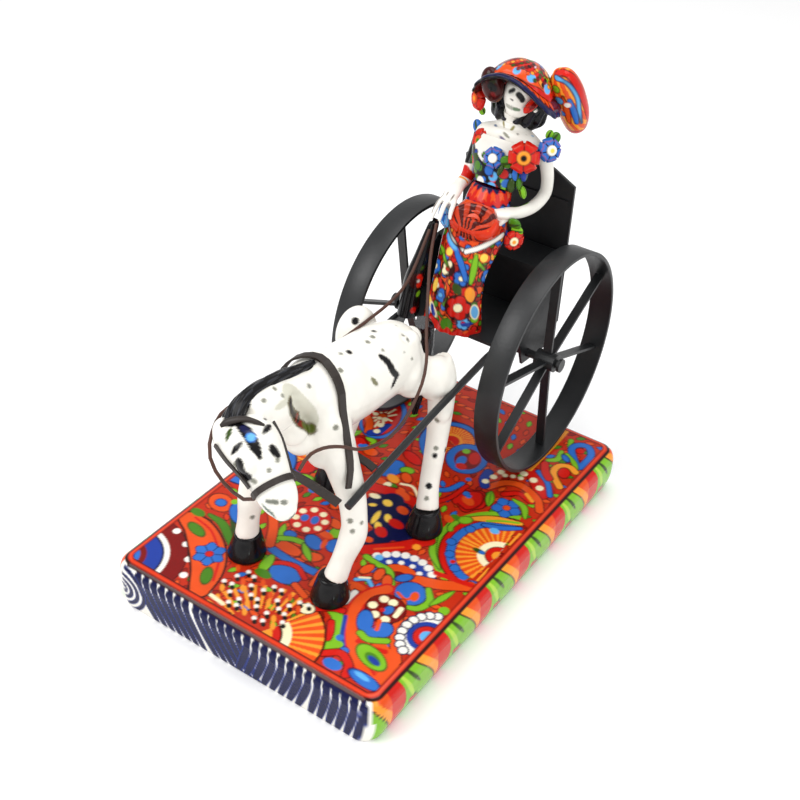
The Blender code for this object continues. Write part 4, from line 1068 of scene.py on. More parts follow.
def build_hooves():
    for label, x, y in HOOVES:
        rings = []
        sides = 40
        angle = 2 * math.pi * np.arange(sides) / sides
        for level, wide, long, forward in ((50.3, 17.0, 18.0, 0), (50.6, 18.0, 19.0, 0),
                                           (54, 17.6, 18.4, 0), (60, 16.2, 17.0, 0.8),
                                           (66, 14.6, 15.4, 1.5), (71, 13.0, 13.8, 2.0),
                                           (74, 12.4, 13.2, 2.2), (75.6, 10.5, 11.4, 2.2)):
            notch = 1 - 0.05 * np.exp(-((np.abs(angle - math.pi / 2)) / 0.3) ** 2)
            rings.append(np.stack((x + wide * np.cos(angle) * notch,
                                   y + forward + long * np.sin(angle) * notch,
                                   np.full(sides, level)), axis=1))
        verts, faces = skin(rings)
        verts, faces = refine(verts, faces, 2)
        p = Paint(verts, BLACK, 0.9)
        for turn, level in ((-40, 62), (-62, 68), (-20, 70), (-100, 64), (30, 66), (150, 66)):
            c, s = math.cos(math.radians(turn)), math.sin(math.radians(turn))
            p.stroke(((x + 15.5 * c, y + 16.5 * s, level), (x + 15 * c + 2, y + 16 * s, level + 5)),
                     2.2, tint(150, 170, 165), None, taper=0.6)
        piece("Hoof_" + label, verts, faces, PAINTED, "black_glaze", p.colour,
              ("hoof_" + label,))


def build_mane_and_tail():
    mane = (((-6, -104, 265), 3, 4), ((-7, -124, 268), 4.5, 6), ((-8, -144, 272), 5.5, 7),
            ((-8, -166, 275), 6, 8), ((-8, -184, 276), 6.5, 8), ((-6, -198, 275), 7, 8),
            ((-2, -211, 273), 8, 6), ((3, -217, 272), 6, 4))
    tail = (((6, 43, 236), 7, 6), ((5, 51, 228), 8, 7), ((4, 54, 212), 8, 8),
            ((3, 55, 190), 8, 9), ((2, 53, 165), 7, 8), ((1, 50, 142), 5, 6),
            ((1, 48, 126), 2, 3))
    for name, table, node, dark in (("Mane", mane, "horse_mane", BLACK),
                                    ("Tail", tail, "horse_tail", BLACK)):
        verts, faces = loft(table, 56, 70)
        middle = spline(np.array([row[0] for row in table], float), 200)
        gap = np.linalg.norm(verts[:, None, :] - middle[None, :, :], axis=2)
        near = middle[gap.argmin(axis=1)]
        run = gap.argmin(axis=1)
        off = verts - near
        turn = np.arctan2(off[:, 2] if name == "Mane" else off[:, 1], off[:, 0])
        size = np.maximum(np.linalg.norm(off, axis=1), 1e-6)
        groove = 0.5 * np.cos(9 * turn + run * 0.10) + 0.3 * np.cos(17 * turn - run * 0.05)
        verts = verts + off / size[:, None] * (groove * 0.7)[:, None]
        # ridge tops painted a lighter blue-grey: a painted sheen on the black glaze
        shade = np.where(groove[:, None] > 0.35, tint(44, 46, 52), dark)
        glazed(name, verts, faces, "black_glaze", shade, (node,))


build_horse()
build_hooves()
build_mane_and_tail()


# ------------------------------------------------------------------ driver
def dress(name, table, nodes, paint, sides=120, rows=110, slot="floral_glaze", form=None,
          across=(1.0, 0.0, 0.0)):
    verts, faces = loft(table, sides, rows, across)
    if form is not None:
        verts = form(verts)
    p = Paint(verts, WHITE, 0.9)
    paint(p)
    return glazed(name, verts, faces, slot, p.colour, nodes)


def solid_flower(p, centre, out, size, petals, colour, heart, rim=MAROON):
    """A painted flower on a curved surface: petals round a heart."""
    out = Vector(out).normalized()
    first = out.orthogonal().normalized()
    second = out.cross(first)
    centre = Vector(centre)
    p.dab(tuple(centre), size + 0.8, rim)
    for index in range(petals):
        turn = 2 * math.pi * index / petals
        way = first * math.cos(turn) + second * math.sin(turn)
        place = centre + way * size * 0.58
        p.dab(tuple(place), size * 0.42, colour)
    p.dab(tuple(centre), size * 0.34, heart, rim, 0.5)


def paint_skirt(p):
    p.colour[:] = ORANGE
    at = p.at
    mix = 0.5 + 0.5 * np.sin(at[:, 0] * 0.35 + at[:, 2] * 0.12) * np.sin(at[:, 2] * 0.23 + 1.0)
    p.colour[:] = tint(206, 54, 20) * mix[:, None] + ORANGE * (1 - mix[:, None])
    for index in range(420):
        turn = index * GOLDEN_TURN
        level = 200 + (index * SPREAD_TWO) % 1.0 * 102
        radius = np.interp(level, (199, 232, 256, 279, 300), (31, 27, 26, 29, 27))
        forward = np.interp(level, (199, 232, 256, 279, 300), (20.5, 18.5, 18, 20, 22))
        middle = np.interp(level, (199, 212, 232, 256, 279, 300), (108, 109, 111, 117, 130, 150))
        spot = p.snap((radius * math.cos(turn), middle + forward * math.sin(turn), level))
        p.dab(spot, 2.3 + index % 3 * 0.6,
              (RED, GREEN, AMBER, tint(150, 24, 12), BLUE, RED, ORANGE)[index % 7], MAROON, 1.1)
    # garlands in slanting rows, the same all round
    for turn in (-150, -75, 0, 75, 150):
        for level, kind, shift in ((300, 0, 8), (286, 1, -18), (272, 2, 12), (257, 3, -10),
                                   (243, 0, 14), (229, 4, -16), (214, 5, 10)):
            angle = math.radians(-57 + turn + shift)
            radius = np.interp(level, (199, 232, 256, 279, 300), (31, 27, 26, 29, 27))
            forward = np.interp(level, (199, 232, 256, 279, 300), (20.5, 18.5, 18, 20, 22))
            middle = np.interp(level, (199, 212, 232, 256, 279, 300),
                               (108, 109, 111, 117, 130, 150))
            c, s = math.cos(angle), math.sin(angle)
            place = (radius * c, middle + forward * s, level)
            out = (c, s * 1.3, 0.1)
            side = (-s, c)
            if kind == 0:
                solid_flower(p, place, out, 8.5, 5, RED, CREAM)
            elif kind == 1:
                p.stroke((place, (place[0] + 9 * side[0], place[1] + 9 * side[1], level - 10)), 6,
                         SKY, NAVY, 0.7, 0.6)
                p.stroke(((place[0] - 10 * side[0], place[1] - 10 * side[1], level + 5), place), 4,
                         BLUE, NAVY, 0.6, 0.5)
            elif kind == 2:
                p.stroke(((place[0] - 9 * side[0], place[1] - 9 * side[1], level + 3), place,
                          (place[0] + 7 * side[0], place[1] + 7 * side[1], level - 8)), 5, LIME,
                         MOSS, 0.8, 0.6)
                p.dab((place[0] + 6 * side[0], place[1] + 6 * side[1], level + 5), 4, YELLOW, RED)
            elif kind == 3:
                solid_flower(p, place, out, 7.5, 5, BLUE, CREAM, NAVY)
            elif kind == 4:
                p.dab(place, 6, RED, MAROON)
                p.stroke((place, (place[0] + 10 * side[0], place[1] + 10 * side[1], level - 7)), 5,
                         YELLOW, ORANGE, 0.8, 0.5)
                p.dab((place[0] - 9 * side[0], place[1] - 9 * side[1], level + 3), 4.5, GREEN, MOSS)
            else:
                solid_flower(p, place, out, 6.5, 5, SKY, RED, NAVY)
                p.dab((place[0] + 11 * side[0], place[1] + 11 * side[1], level + 4), 4, LIME, MOSS)
    # the near front, motif by motif
    for place, size, colour, heart in (((13, 94, 229), 12.5, RED, CREAM),
                                       ((-7, 93, 236), 7.0, BLUE, SKY),
                                       ((-5, 102, 262), 7.5, CREAM, RED)):
        solid_flower(p, place, (0.54, -0.84, 0.1), size, 5, colour, heart)
    p.stroke(((-15, 107, 272), (-4, 104, 262), (8, 102, 257)), 5, LIME, MOSS, 0.8, 0.5)
    p.stroke(((-1, 107, 279), (8, 105, 268), (14, 102, 257)), 6, BLUE, NAVY, 0.8, 0.4)
    p.stroke(((-17, 116, 288), (-6, 112, 282), (4, 110, 276)), 7, SKY, BLUE, 0.8, 0.5)
    p.stroke(((18, 112, 279), (19, 107, 264), (19, 104, 254)), 5.5, LIME, MOSS, 0.8, 0.5)
    p.stroke(((6, 98, 250), (11, 97, 244)), 9, MOSS, None, 1, 0.6)
    p.stroke(((20, 101, 248), (22, 102, 238)), 10, AMBER, None, 1, 0.5)
    p.stroke(((26, 103, 230), (27, 104, 220)), 8, SKY, CREAM, 1.2, 0.5)
    p.stroke(((-16, 98, 250), (-17, 97, 236)), 7, YELLOW, None, 1, 0.6)
    p.stroke(((-17, 93, 222), (-10, 91, 214)), 7, COBALT, CREAM, 1.4, 0.5)
    p.stroke(((-14, 90, 209), (-6, 89, 205)), 9, RED, MAROON)
    p.dab((5, 89, 210), 6, GREEN, MOSS)
    p.stroke(((20, 93, 213), (26, 98, 214)), 4, COBALT)
    # white swags and the hem
    p.stroke(((-20, 124, 293), (-10, 115, 287), (2, 111, 282), (8, 110, 281)), 3.4, WHITE, MAROON)
    p.stroke(((30, 139, 294), (20, 118, 287), (8, 110, 281)), 4.2, WHITE, MAROON)
    hem = np.nonzero(at[:, 2] < 207.5)[0]
    wave = 2.0 * np.sin(np.arctan2(at[hem, 1] - 108, at[hem, 0]) * 14)
    p.lay(hem, 206.0 - at[hem, 2] + wave, RED)
    low = np.nonzero(at[:, 2] < 202)[0]
    p.lay(low, 200.6 - at[low, 2], MAROON)


def pleats(verts):
    """Soft folds that deepen towards the hem."""
    out = verts.copy()
    middle = np.interp(verts[:, 2], (199, 212, 232, 256, 279, 306), (108, 109, 111, 117, 130, 156))
    turn = np.arctan2(verts[:, 1] - middle, verts[:, 0])
    depth = np.interp(verts[:, 2], (199, 240, 290, 306), (0.8, 0.6, 0.15, 0.0))
    out[:, 0] += depth * np.cos(12 * turn) * np.cos(turn)
    out[:, 1] += depth * np.cos(12 * turn) * np.sin(turn)
    return out


dress("Skirt", (((0, 108, 199.4), 31, 21), ((0, 109, 212), 30, 20), ((0, 111, 232), 27, 18.5),
                ((0, 117, 256), 26, 18), ((0, 130, 279), 29, 20), ((0, 145, 295), 29, 22),
                ((0, 156, 306), 22, 19)), ("skirt",), paint_skirt, 168, 130, form=pleats)


def paint_sash(p):
    p.colour[:] = NAVY
    rows = np.arange(len(p.at))
    turn = np.arctan2(p.at[:, 1] - 160, p.at[:, 0])
    level = p.at[:, 2] - 322 - 1.6 * np.cos(14 * turn)
    p.lay(rows, 5.6 - np.abs(level), RED)
    p.lay(rows, np.minimum(3.2 - np.abs(level - 1), np.cos(14 * turn) * 3), ORANGE)
    for step in range(0, 360, 24):
        a = math.radians(step)
        p.stroke(((20.5 * math.cos(a), 157 + 18 * math.sin(a), 314),
                  (23 * math.cos(a + 0.25), 156 + 19 * math.sin(a + 0.25), 308)), 6, BLUE, None,
                 taper=0.3)


dress("Waist_sash", (((0, 153.5, 305), 20, 17), ((0, 155.5, 309), 22.4, 18.4),
                     ((0, 159, 316), 21.4, 17.6), ((0, 162, 323), 20, 16),
                     ((0, 163, 326), 18.6, 15)), ("waist_sash",), paint_sash, 120, 40)


def paint_bodice(p):
    p.colour[:] = BLACK
    rows = np.nonzero(p.at[:, 1] < 186)[0]
    at = p.at[rows]
    p.lay(rows, at[:, 2] - 349 - 0.012 * (at[:, 0] - 4) ** 2, WHITE)
    for index in range(90):
        turn = index * GOLDEN_TURN
        level = 326 + (index * SPREAD_TWO) % 1.0 * 30
        grow = (level - 326) / 30
        spot = ((21 + 14 * grow) * math.cos(turn), 166 + 14 * grow + (16 + 5 * grow)
                * math.sin(turn), level)
        p.dab(p.snap(spot), 2.6, (GREEN, BLUE, RED, LIME, SKY, MOSS, COBALT)[index % 7], BLACK, 0.6)
    for place, size, colour in (((6, 148, 342), 6.5, SKY), ((6, 148, 342), 4.2, WHITE),
                                ((6, 148, 342), 2.0, RED), ((-8, 149, 333), 5.5, WHITE),
                                ((-2, 147, 330), 3.4, RED),
                                ((6, 148, 332), 5.0, SKY), ((14, 150, 336), 3.0, WHITE),
                                ((20, 153, 336), 6.5, BLUE), ((27, 157, 338), 3.0, WHITE),
                                ((16, 149, 342), 3.5, RED), ((3, 147, 327), 3.6, LIME),
                                ((-12, 152, 345), 4.5, GREEN), ((-20, 157, 350), 6.0, MOSS),
                                ((4, 150, 342), 3.0, DEEP), ((-16, 158, 340), 4.0, GREEN)):
        p.dab(place, size, colour)
    p.stroke(((16, 149, 345), (18, 150, 337), (16, 149, 329)), 3.6, RED)
    for turn in range(40, 320, 28):
        a = math.radians(turn)
        c, s = math.cos(a - 1.57), math.sin(a - 1.57)
        p.dab((30 * c, 174 + 20 * s * -1, 345), 4.5, (BLUE, GREEN, RED)[turn % 3], NAVY)


dress("Bodice", (((0, 163, 325.5), 19, 15), ((0, 168, 334), 24, 18), ((0, 174, 345), 30, 21),
                 ((0, 180, 356), 33, 20), ((0, 184, 364), 33, 17)), ("bodice",), paint_bodice)


def paint_chest(p):
    p.colour[:] = WHITE
    marks = ((((-14, 180, 380), (-10, 178, 377), (-6, 178, 377)), 2.6, tint(110, 125, 150)),
             (((-6, 182, 384), (-2, 178, 379)), 2.0, tint(150, 140, 90)),
             (((8, 181, 384), (5, 178, 377)), 3.0, tint(140, 135, 80)),
             (((20, 181, 379), (21, 181, 378)), 3.2, tint(150, 155, 130)),
             (((0, 174, 376), (7, 173, 373)), 2.8, tint(130, 130, 110)),
             (((13, 177, 378), (14, 178, 374)), 2.6, tint(150, 145, 135)),
             (((-2, 172, 372), (5, 171, 369)), 3.0, tint(120, 110, 140)),
             (((-8, 170, 368), (-6, 170, 366)), 2.4, tint(120, 130, 120)),
             (((24, 185, 376), (26, 186, 376)), 2.4, tint(150, 190, 225)))
    for route, width, colour in marks:
        p.stroke(route, width, colour, None, taper=0.5)


dress("Chest_and_neck", (((0, 185.5, 364.5), 37, 15.5), ((0, 187, 369), 36, 15),
                         ((0, 189, 374), 27, 13), ((0, 190, 378), 17, 11),
                         ((0, 191, 384), 9.5, 9.5), ((0, 189, 393), 8.5, 8.5)),
      ("chest_and_neck",), paint_chest, slot="white_glaze")


def build_skull():
    face = (((0, 177, 391), 5, 5), ((0, 178, 394), 9, 9.5), ((0, 181, 399), 12.5, 13.5),
            ((0, 184, 405), 15, 16.5), ((0, 186, 412), 15.5, 17.5), ((0, 188, 419), 14, 16),
            ((0, 189, 425), 9, 10))
    verts, faces = loft(face, 96, 80)
    verts = verts + (6.0, 4.0, 0.0)
    at = verts.copy()
    # hollow sockets and nose, a jaw row
    for centre, reach, depth in (((4.5, 172, 418), 3.4, 2.2), ((14, 175, 413), 3.8, 2.4),
                                 ((5.5, 171, 409), 2.2, 1.2)):
        gap = np.linalg.norm((at - centre) / (1, 1, 1.15), axis=1)
        verts[:, 1] += depth * np.exp(-(gap / reach) ** 2 * 1.6)
    p = Paint(at, WHITE, 0.7)
    p.stroke(((2.5, 172, 417), (6, 172.5, 419.5)), 4.4, BLACK, GREY, 0.5)
    p.stroke(((12, 173.5, 416), (15, 176, 411)), 4.8, BLACK, GREY, 0.5)
    p.stroke(((4.2, 171.5, 410), (6.6, 172, 409.5)), 2.8, tint(40, 38, 36))
    p.stroke(((0, 174, 402.5), (6, 172.5, 401.8), (11, 174, 401.5)), 4.0, tint(168, 168, 156))
    for place in np.arange(-0.5, 12.5, 2.2):
        p.stroke(((place, 173, 404.4), (place + 0.2, 173, 399.8)), 0.9, tint(86, 92, 82))
    p.stroke(((9, 173.5, 401.5), (13, 175.5, 401)), 3.0, tint(104, 128, 100))
    glazed("Skull", verts, faces, "white_glaze", p.colour, ("skull",))


build_skull()


def build_hair():
    def waves(polar, turn, r, h):
        lift = 1 + 0.05 * np.cos(14 * turn + 6 * polar) + 0.03 * np.cos(9 * polar)
        return r * lift, h * lift
    verts, faces, polar, turn = ball((0, 200, 396), (29, 19, 26), (0, 0, 1), 120, 60, waves)
    # kept behind the face and over the neck
    keep = verts.copy()
    in_face = (np.hypot(keep[:, 0] / 17, (keep[:, 2] - 408) / 22) < 1) & (keep[:, 1] < 190)
    verts[in_face, 1] = np.maximum(verts[in_face, 1], 190)
    # wave crests painted a lighter blue-grey: a painted sheen on the black hair
    shade = np.where((np.cos(14 * turn + 6 * polar) > 0.7)[:, None], tint(38, 38, 46), BLACK)
    p = Paint(verts, BLACK, 0.8)
    p.colour = shade.astype(float)
    glazed("Hair", verts, faces, "black_glaze", p.colour, ("hair",))


build_hair()


# hat -----------------------------------------------------------------
TILT = math.radians(24.0)


def hat_place(half, share, angle, rise):
    x = half[0] * share * np.cos(angle)
    forward = half[1] * share * np.sin(angle)
    level = rise - 22.0 * (x / 42.0) ** 2
    y = 191.0 - forward * math.cos(TILT) + level * math.sin(TILT)
    z = 421.0 + forward * math.sin(TILT) + level * math.cos(TILT)
    return np.stack((x + 5.0, y, z), axis=-1)


def build_hat():
    sides = 168
    angle = 2 * math.pi * np.arange(sides) / sides
    brim = (42.0, 41.0)
    rings, tags = [], []
    table = [(s, 2.5 + 0.3 * math.sin(s * 9)) for s in np.linspace(0.30, 0.93, 24)]
    table += [(0.97, 1.9), (0.995, 0.8), (1.0, 0.0), (0.995, -0.8), (0.97, -1.8)]
    table += [(s, -2.4) for s in np.linspace(0.93, 0.30, 14)]
    for index, (share, rise) in enumerate(table):
        frill = 1 + (0.012 * np.cos(18 * angle) if share > 0.85 else 0 * angle)
        rings.append(hat_place(brim, share * frill, angle, np.full(sides, rise)))
        tags.append(np.stack((np.full(sides, share), angle, np.full(sides, rise)), axis=1))
    verts, faces = skin(rings)
    tag = np.vstack(tags + [np.array(((0, 0, 2.5), (0, 0, -2.5)))])
    u = tag[:, 0] * 42 * np.cos(tag[:, 1])
    v = tag[:, 0] * 41 * np.sin(tag[:, 1])
    p = Paint(np.stack((u, v), axis=1), DEEP, 0.9)
    rows = np.arange(len(verts))
    away = tag[:, 0] * 42
    p.lay(rows, away - 38.0, NAVY)
    for turn in range(-80, 100, 12):
        a = math.radians(90 - turn)
        p.stroke(((29 * math.cos(a), 28 * math.sin(a)), (37 * math.cos(a), 36 * math.sin(a))), 6.5,
                 ORANGE, MAROON, 0.8, 0.6)
    # the brim's underside is painted darker maroon, black towards the rim: painted shade under the
    # brim
    shaded_underside = tag[:, 2] < -0.5
    low = np.where(away > 36, 0.0, 1.0)[:, None]
    p.colour[shaded_underside] = (MAROON * low + BLACK * (1 - low))[shaded_underside]
    # the dark puff that hangs low beside the face: the brim's underside, painted dark maroon as
    # painted shade and mottled with dots
    v, f, _, _ = ball((-16, 174, 418), (11, 9, 17), (-0.25, -0.1, 1), 70, 50)
    q = Paint(v, tint(58, 8, 8), 1.0)
    for index in range(26):
        place = (-26 + (index * SPREAD_ONE) % 1 * 22, 164 + (index * 0.37) % 1 * 12,
                 402 + (index * 0.755) % 1 * 30)
        q.dab(place, 3.4, (tint(96, 40, 10), tint(40, 44, 20), BLACK, tint(110, 14, 16))[index % 4])
    verts, faces, colours = merge([(verts, faces, p.colour), (v, f, q.colour)])
    glazed("Hat_brim", verts, faces, "red_glaze", colours, ("hat_brim",))
    # crown
    crown = (32.0, 29.0)
    knots = np.array(((0.0, 21.0), (0.3, 20.5), (0.6, 18.0), (0.85, 13.0), (0.98, 7.5), (1.0, 3.4)))
    dense = spline(knots, 44)[1:]
    rings, tags = [], []
    for share, rise in dense:
        swell = 1 + 0.018 * np.cos(10 * angle) * min(1.0, share * 1.5)
        rings.append(hat_place(crown, share * swell, angle, np.full(sides, rise)))
        tags.append(np.stack((np.full(sides, share * 32) * np.cos(angle),
                              np.full(sides, share * 29 + (20.5 - rise) * 0.55) * np.sin(angle)),
                             axis=1))
    verts, faces = skin(rings)
    tag = np.vstack(tags + [np.array(((0.0, 0.0), (0.0, 0.0)))])
    p = Paint(verts, RED, 0.9)
    for route, width, colour, rim in HAT_MARKS:
        if len(route) == 1:
            p.dab(route[0], width, colour, rim)
        else:
            p.stroke(route, width, colour, rim, 0.8, 0.4)
    for index in range(150):
        a = index * GOLDEN_TURN
        r = 29 * math.sqrt((index + 4) / 154)
        place = hat_place(crown, np.array(r / 30), np.array(a), np.array(20.5 - 11 * (r / 30) ** 3))
        p.dab(p.snap(place), 1.7, (DEEP, MAROON, ORANGE, MOSS, DEEP, AMBER)[index % 6], MAROON, 0.5)
    for index in range(70):
        a = index * GOLDEN_TURN
        r = 27 * math.sqrt((index + 4) / 74)
        place = hat_place(crown, np.array(r / 30), np.array(a), np.array(20.5 - 11 * (r / 30) ** 3))
        if place[1] < 196 and index > 8:
            continue
        p.dab(tuple(place), 3.2, (ORANGE, BLUE, AMBER, GREEN)[index % 4], MAROON)
    glazed("Hat_crown", verts, faces, "red_glaze", p.colour, ("hat_crown",))


HAT_MARKS = (
    (((-22, 170, 428), (-8, 170, 437), (8, 169, 439), (22, 172, 435), (33, 182, 425)), 9,
     ORANGE, MAROON),
    (((-10, 174, 437),), 4.2, SKY, NAVY),
    (((10, 170, 439),), 3.8, SKY, ORANGE),
    (((23, 174, 435),), 4.4, SKY, ORANGE),
    (((33, 186, 423),), 4.6, SKY, ORANGE),
    (((26, 180, 433), (33, 180, 427)), 4, AMBER, MAROON),
    (((28, 190, 431), (34, 196, 422)), 5, LIME, MOSS),
    (((20, 184, 438), (27, 190, 434)), 4, GREEN, MAROON),
    (((2, 179, 440), (12, 178, 440)), 4, ORANGE, RED),
    (((18, 187, 439),), 2.6, tint(225, 190, 200), RED),
    (((-18, 172, 430), (-24, 180, 424)), 6, MOSS, MAROON),
)


def build_plume():
    table = (((35, 203, 435), 6, 5), ((37, 207, 429), 12, 11), ((39, 215, 416), 15, 14),
             ((41, 224, 401), 15, 14), ((42, 232, 386), 14, 13), ((42, 239, 373), 10, 10),
             ((42, 242, 367), 4, 4))
    verts, faces = loft(table, 110, 110)
    p = Paint(verts, ORANGE, 0.9)
    at = verts
    wave = np.sin(at[:, 0] * 0.9 + at[:, 2] * 0.35)
    p.colour = np.where((wave > 0.25)[:, None], AMBER, ORANGE).astype(float)
    for route, width, colour, rim in PLUME_MARKS:
        if len(route) == 1:
            p.dab(route[0], width, colour, rim)
        else:
            p.stroke(route, width, colour, rim, 0.8, 0.3)
    glazed("Hat_plume", verts, faces, "red_glaze", p.colour, ("hat_plume",))


PLUME_MARKS = (
    (((33, 201, 436), (46, 206, 431), (55, 215, 417), (57, 226, 400), (55, 235, 386),
      (50, 238, 374)), 9, RED, MAROON),
    (((34, 198, 431), (45, 202, 427), (51, 211, 413), (52, 218, 398), (52, 226, 384)), 5,
     SKY, NAVY),
    (((48, 205, 410), (50, 214, 396), (50, 222, 384)), 5, BLUE, NAVY),
    (((42, 203, 414), (44, 210, 398), (44, 218, 384)), 5, ORANGE, MAROON),
    (((46, 206, 404),), 3.2, WHITE, ORANGE),
    (((38, 204, 408),), 4.0, SKY, NAVY),
    (((38, 212, 392),), 3.4, BLUE, NAVY),
    (((36, 200, 420),), 3.8, LIME, MOSS),
    (((34, 206, 404), (36, 214, 390)), 4, RED, MAROON),
    (((38, 228, 372), (46, 232, 370), (52, 240, 374)), 8, RED, MAROON),
    (((28, 206, 424), (26, 216, 408), (28, 226, 392)), 5, BLUE, NAVY),
)

build_hat()
build_plume()


# flowers -------------------------------------------------------------
def petals_form(count, depth):
    """Petal edges and a raised heart for a ball seen from its pole."""
    def form(polar, turn, r, h):
        share = np.sin(np.minimum(polar, math.pi / 2))
        edge = 1 - depth * (np.abs(np.sin(turn * count / 2)) < 0.28) * share ** 2
        edge = edge * (1 + depth * 0.4 * np.abs(np.cos(turn * count / 2)) * share)
        cup = np.where(polar < 0.45, 1.02, 0.86 + 0.20 * np.exp(-((polar - 1.0) / 0.28) ** 2))
        return r * edge, h * cup
    return form


def rose(name, centre, radii, facing, colour, heart, slot, count=5, edge=None, spot=None,
         leaves=(), roll=0.0, node=None):
    """A modelled flower: petals round a raised heart, with leaves in the same body."""
    verts, faces, polar, turn = ball(centre, radii, facing, 110, 54, petals_form(count, 0.14),
                                     roll)
    dark = colour * 0.45 if edge is None else edge
    shade = np.tile(colour, (len(verts), 1)).astype(float)

    def lay(inside, new):
        share = np.clip(0.5 + inside / 0.10, 0, 1)[:, None]
        shade[:] = shade * (1 - share) + new * share
    # painted shade: a darker shade of the petal colour in the notches between petals, round the
    # raised heart and over the back of the flower
    lay(0.16 - np.abs(np.sin(turn * count / 2)) * np.clip(polar, 0, 1.2), dark)
    lay(0.10 - np.abs(polar - 0.95 - 0.10 * np.cos(turn * count)), colour * 0.65 + ORANGE * 0.25)
    lay(0.50 - polar, dark)
    lay(0.44 - polar, heart)
    if spot is not None:
        lay(0.20 - polar, spot)
    lay(polar - 2.0, dark)
    parts = [(verts, faces, shade)]
    for base, tip, wide, thick, green in leaves:
        parts.append(leaf_form(base, tip, wide, thick, green))
    v, f, c = merge(parts)
    glazed(name, v, f, slot, c, (node or name.lower(),))


def leaf_form(base, tip, wide, thick, green):
    """A pointed leaf with a vein, as (verts, faces, colours)."""
    base, tip = np.asarray(base, float), np.asarray(tip, float)
    length = np.linalg.norm(tip - base)
    verts, faces, _, turn = ball((base + tip) / 2, (wide, thick, length / 2), tip - base, 40, 26)
    shade = np.tile(green, (len(verts), 1)).astype(float)
    vein = np.abs(np.cos(turn)) < 0.16
    shade[vein] = MOSS
    shade[np.abs(np.sin(turn)) < 0.12] = MOSS * 0.7
    return verts, faces, shade


rose("Shoulder_flower_left", (46, 180, 370), (11, 11, 8), (0.75, -0.62, 0.35), BLUE, WHITE,
     "blue_glaze", 6, NAVY, YELLOW,
     (((44, 186, 374), (50, 188, 385), 5, 2.4, GREEN),
      ((40, 186, 376), (43, 187, 386), 4, 2.2, LIME)))
rose("Shoulder_flower_right", (-22, 175, 361), (9.5, 12, 8), (-0.1, -0.95, 0.3), RED, ORANGE,
     "red_glaze", 5, DEEP, GREEN,
     (((-29, 180, 364), (-35, 183, 376), 5, 3, BLUE),
      ((-26, 171, 351), (-22, 165, 341), 5, 3, GREEN),
      ((-17, 168, 354), (-10, 165, 350), 4, 3, LIME),
      ((-14, 170, 360), (-8, 167, 362), 4, 3, GREEN),
      ((-22, 168, 342), (-18, 163, 334), 5, 3, COBALT)))
rose("Bust_rose", (31, 161, 365), (14.5, 14.5, 9), (0.42, -0.85, 0.32), RED, AMBER,
     "red_glaze", 6, DEEP, BLACK,
     (((22, 157, 360), (11, 154, 356), 7, 3.0, GREEN),
      ((14, 155, 356), (11, 151, 344), 4.5, 2.6, MOSS),
      ((25, 162, 354), (26, 160, 340), 5, 3, BLUE), ((32, 163, 354), (33, 162, 341), 5, 3, COBALT),
      ((28, 162, 344), (30, 160, 332), 4, 2.6, GREEN),
      ((30, 163, 336), (35, 162, 324), 4.5, 2.8, LIME),
      ((22, 160, 342), (22, 157, 328), 4, 2.6, MOSS)))
rose("Bust_flower", (3, 156, 358), (10, 10, 7), (0.2, -0.93, 0.3), BLUE, WHITE,
     "blue_glaze", 6, NAVY, None,
     (((-6, 158, 356), (-17, 163, 352), 5, 3, GREEN),
      ((-6, 157, 352), (-14, 160, 343), 4.5, 3, MOSS)))
rose("Ear_flower_left", (23, 180, 407), (4.2, 9.5, 5.0), (0.75, -0.6, 0.2), RED, DEEP,
     "red_glaze", 5, DEEP, None, (((26, 179, 402), (28.5, 181, 405), 2.2, 2.2, WHITE),))
rose("Ear_flower_right", (-33, 181, 398), (8, 11, 6), (-0.35, -0.9, 0.2), RED, ORANGE,
     "red_glaze", 5, DEEP, AMBER, (((-31, 182, 390), (-28, 184, 382), 3.4, 2.4, LIME),))
rose("Hand_bouquet", (39, 143, 290), (8.5, 10, 7.5), (0.5, -0.8, 0.2), RED, CREAM,
     "red_glaze", 6, DEEP, AMBER,
     (((30, 147, 303), (44, 143, 308), 6, 3, GREEN), ((28, 146, 296), (28, 143, 284), 4, 3, COBALT),
      ((34, 145, 298), (46, 146, 300), 5, 2.8, LIME)))
rose("Wrist_flower", (-27, 124, 301), (5.5, 11, 4.5), (-0.1, -0.9, 0.4), SKY, BLUE,
     "blue_glaze", 4, COBALT, None, (), 0.5)


# lap fan --------------------------------------------------------------
def build_fan():
    table = (((4, 136, 294), 17, 11), ((4, 134, 298), 23, 15), ((4, 126, 304), 25.5, 17.5),
             ((4, 123, 306.5), 22, 14), ((4, 122, 308), 13, 9), ((4, 122, 308.4), 7, 5),
             ((4, 122, 308.5), 2, 1.4))
    verts, faces = loft(table, 160, 110)
    middle = np.array((4.0, 128.0, 302.0))
    off = verts - middle
    turn = np.arctan2((verts[:, 1] - 106.5) * 1.4, verts[:, 0] - 4.0)
    size = np.hypot(off[:, 0] / 25.0, off[:, 1] / 18.0)
    ridge = np.cos(turn * 20)
    verts = verts + off / np.linalg.norm(off, axis=1)[:, None] * (0.4 * ridge)[:, None]
    # painted light and shade: pleat ridges lighter red, hollows dark maroon
    shade = np.where((ridge > 0.0)[:, None], tint(188, 56, 26), tint(74, 13, 8)).astype(float)
    shade[size > 0.86] = tint(204, 50, 22)
    p = Paint(verts, RED, 0.8)
    p.colour = shade
    for turn in range(15, 180, 15):
        a = math.radians(turn)
        p.dab((4 + 21 * math.cos(a), 112 + 25 * math.sin(a), 306 - 4 * math.sin(a)), 1.5, AMBER)
    glazed("Lap_fan", verts, faces, "red_glaze", p.colour, ("lap_fan",))


build_fan()


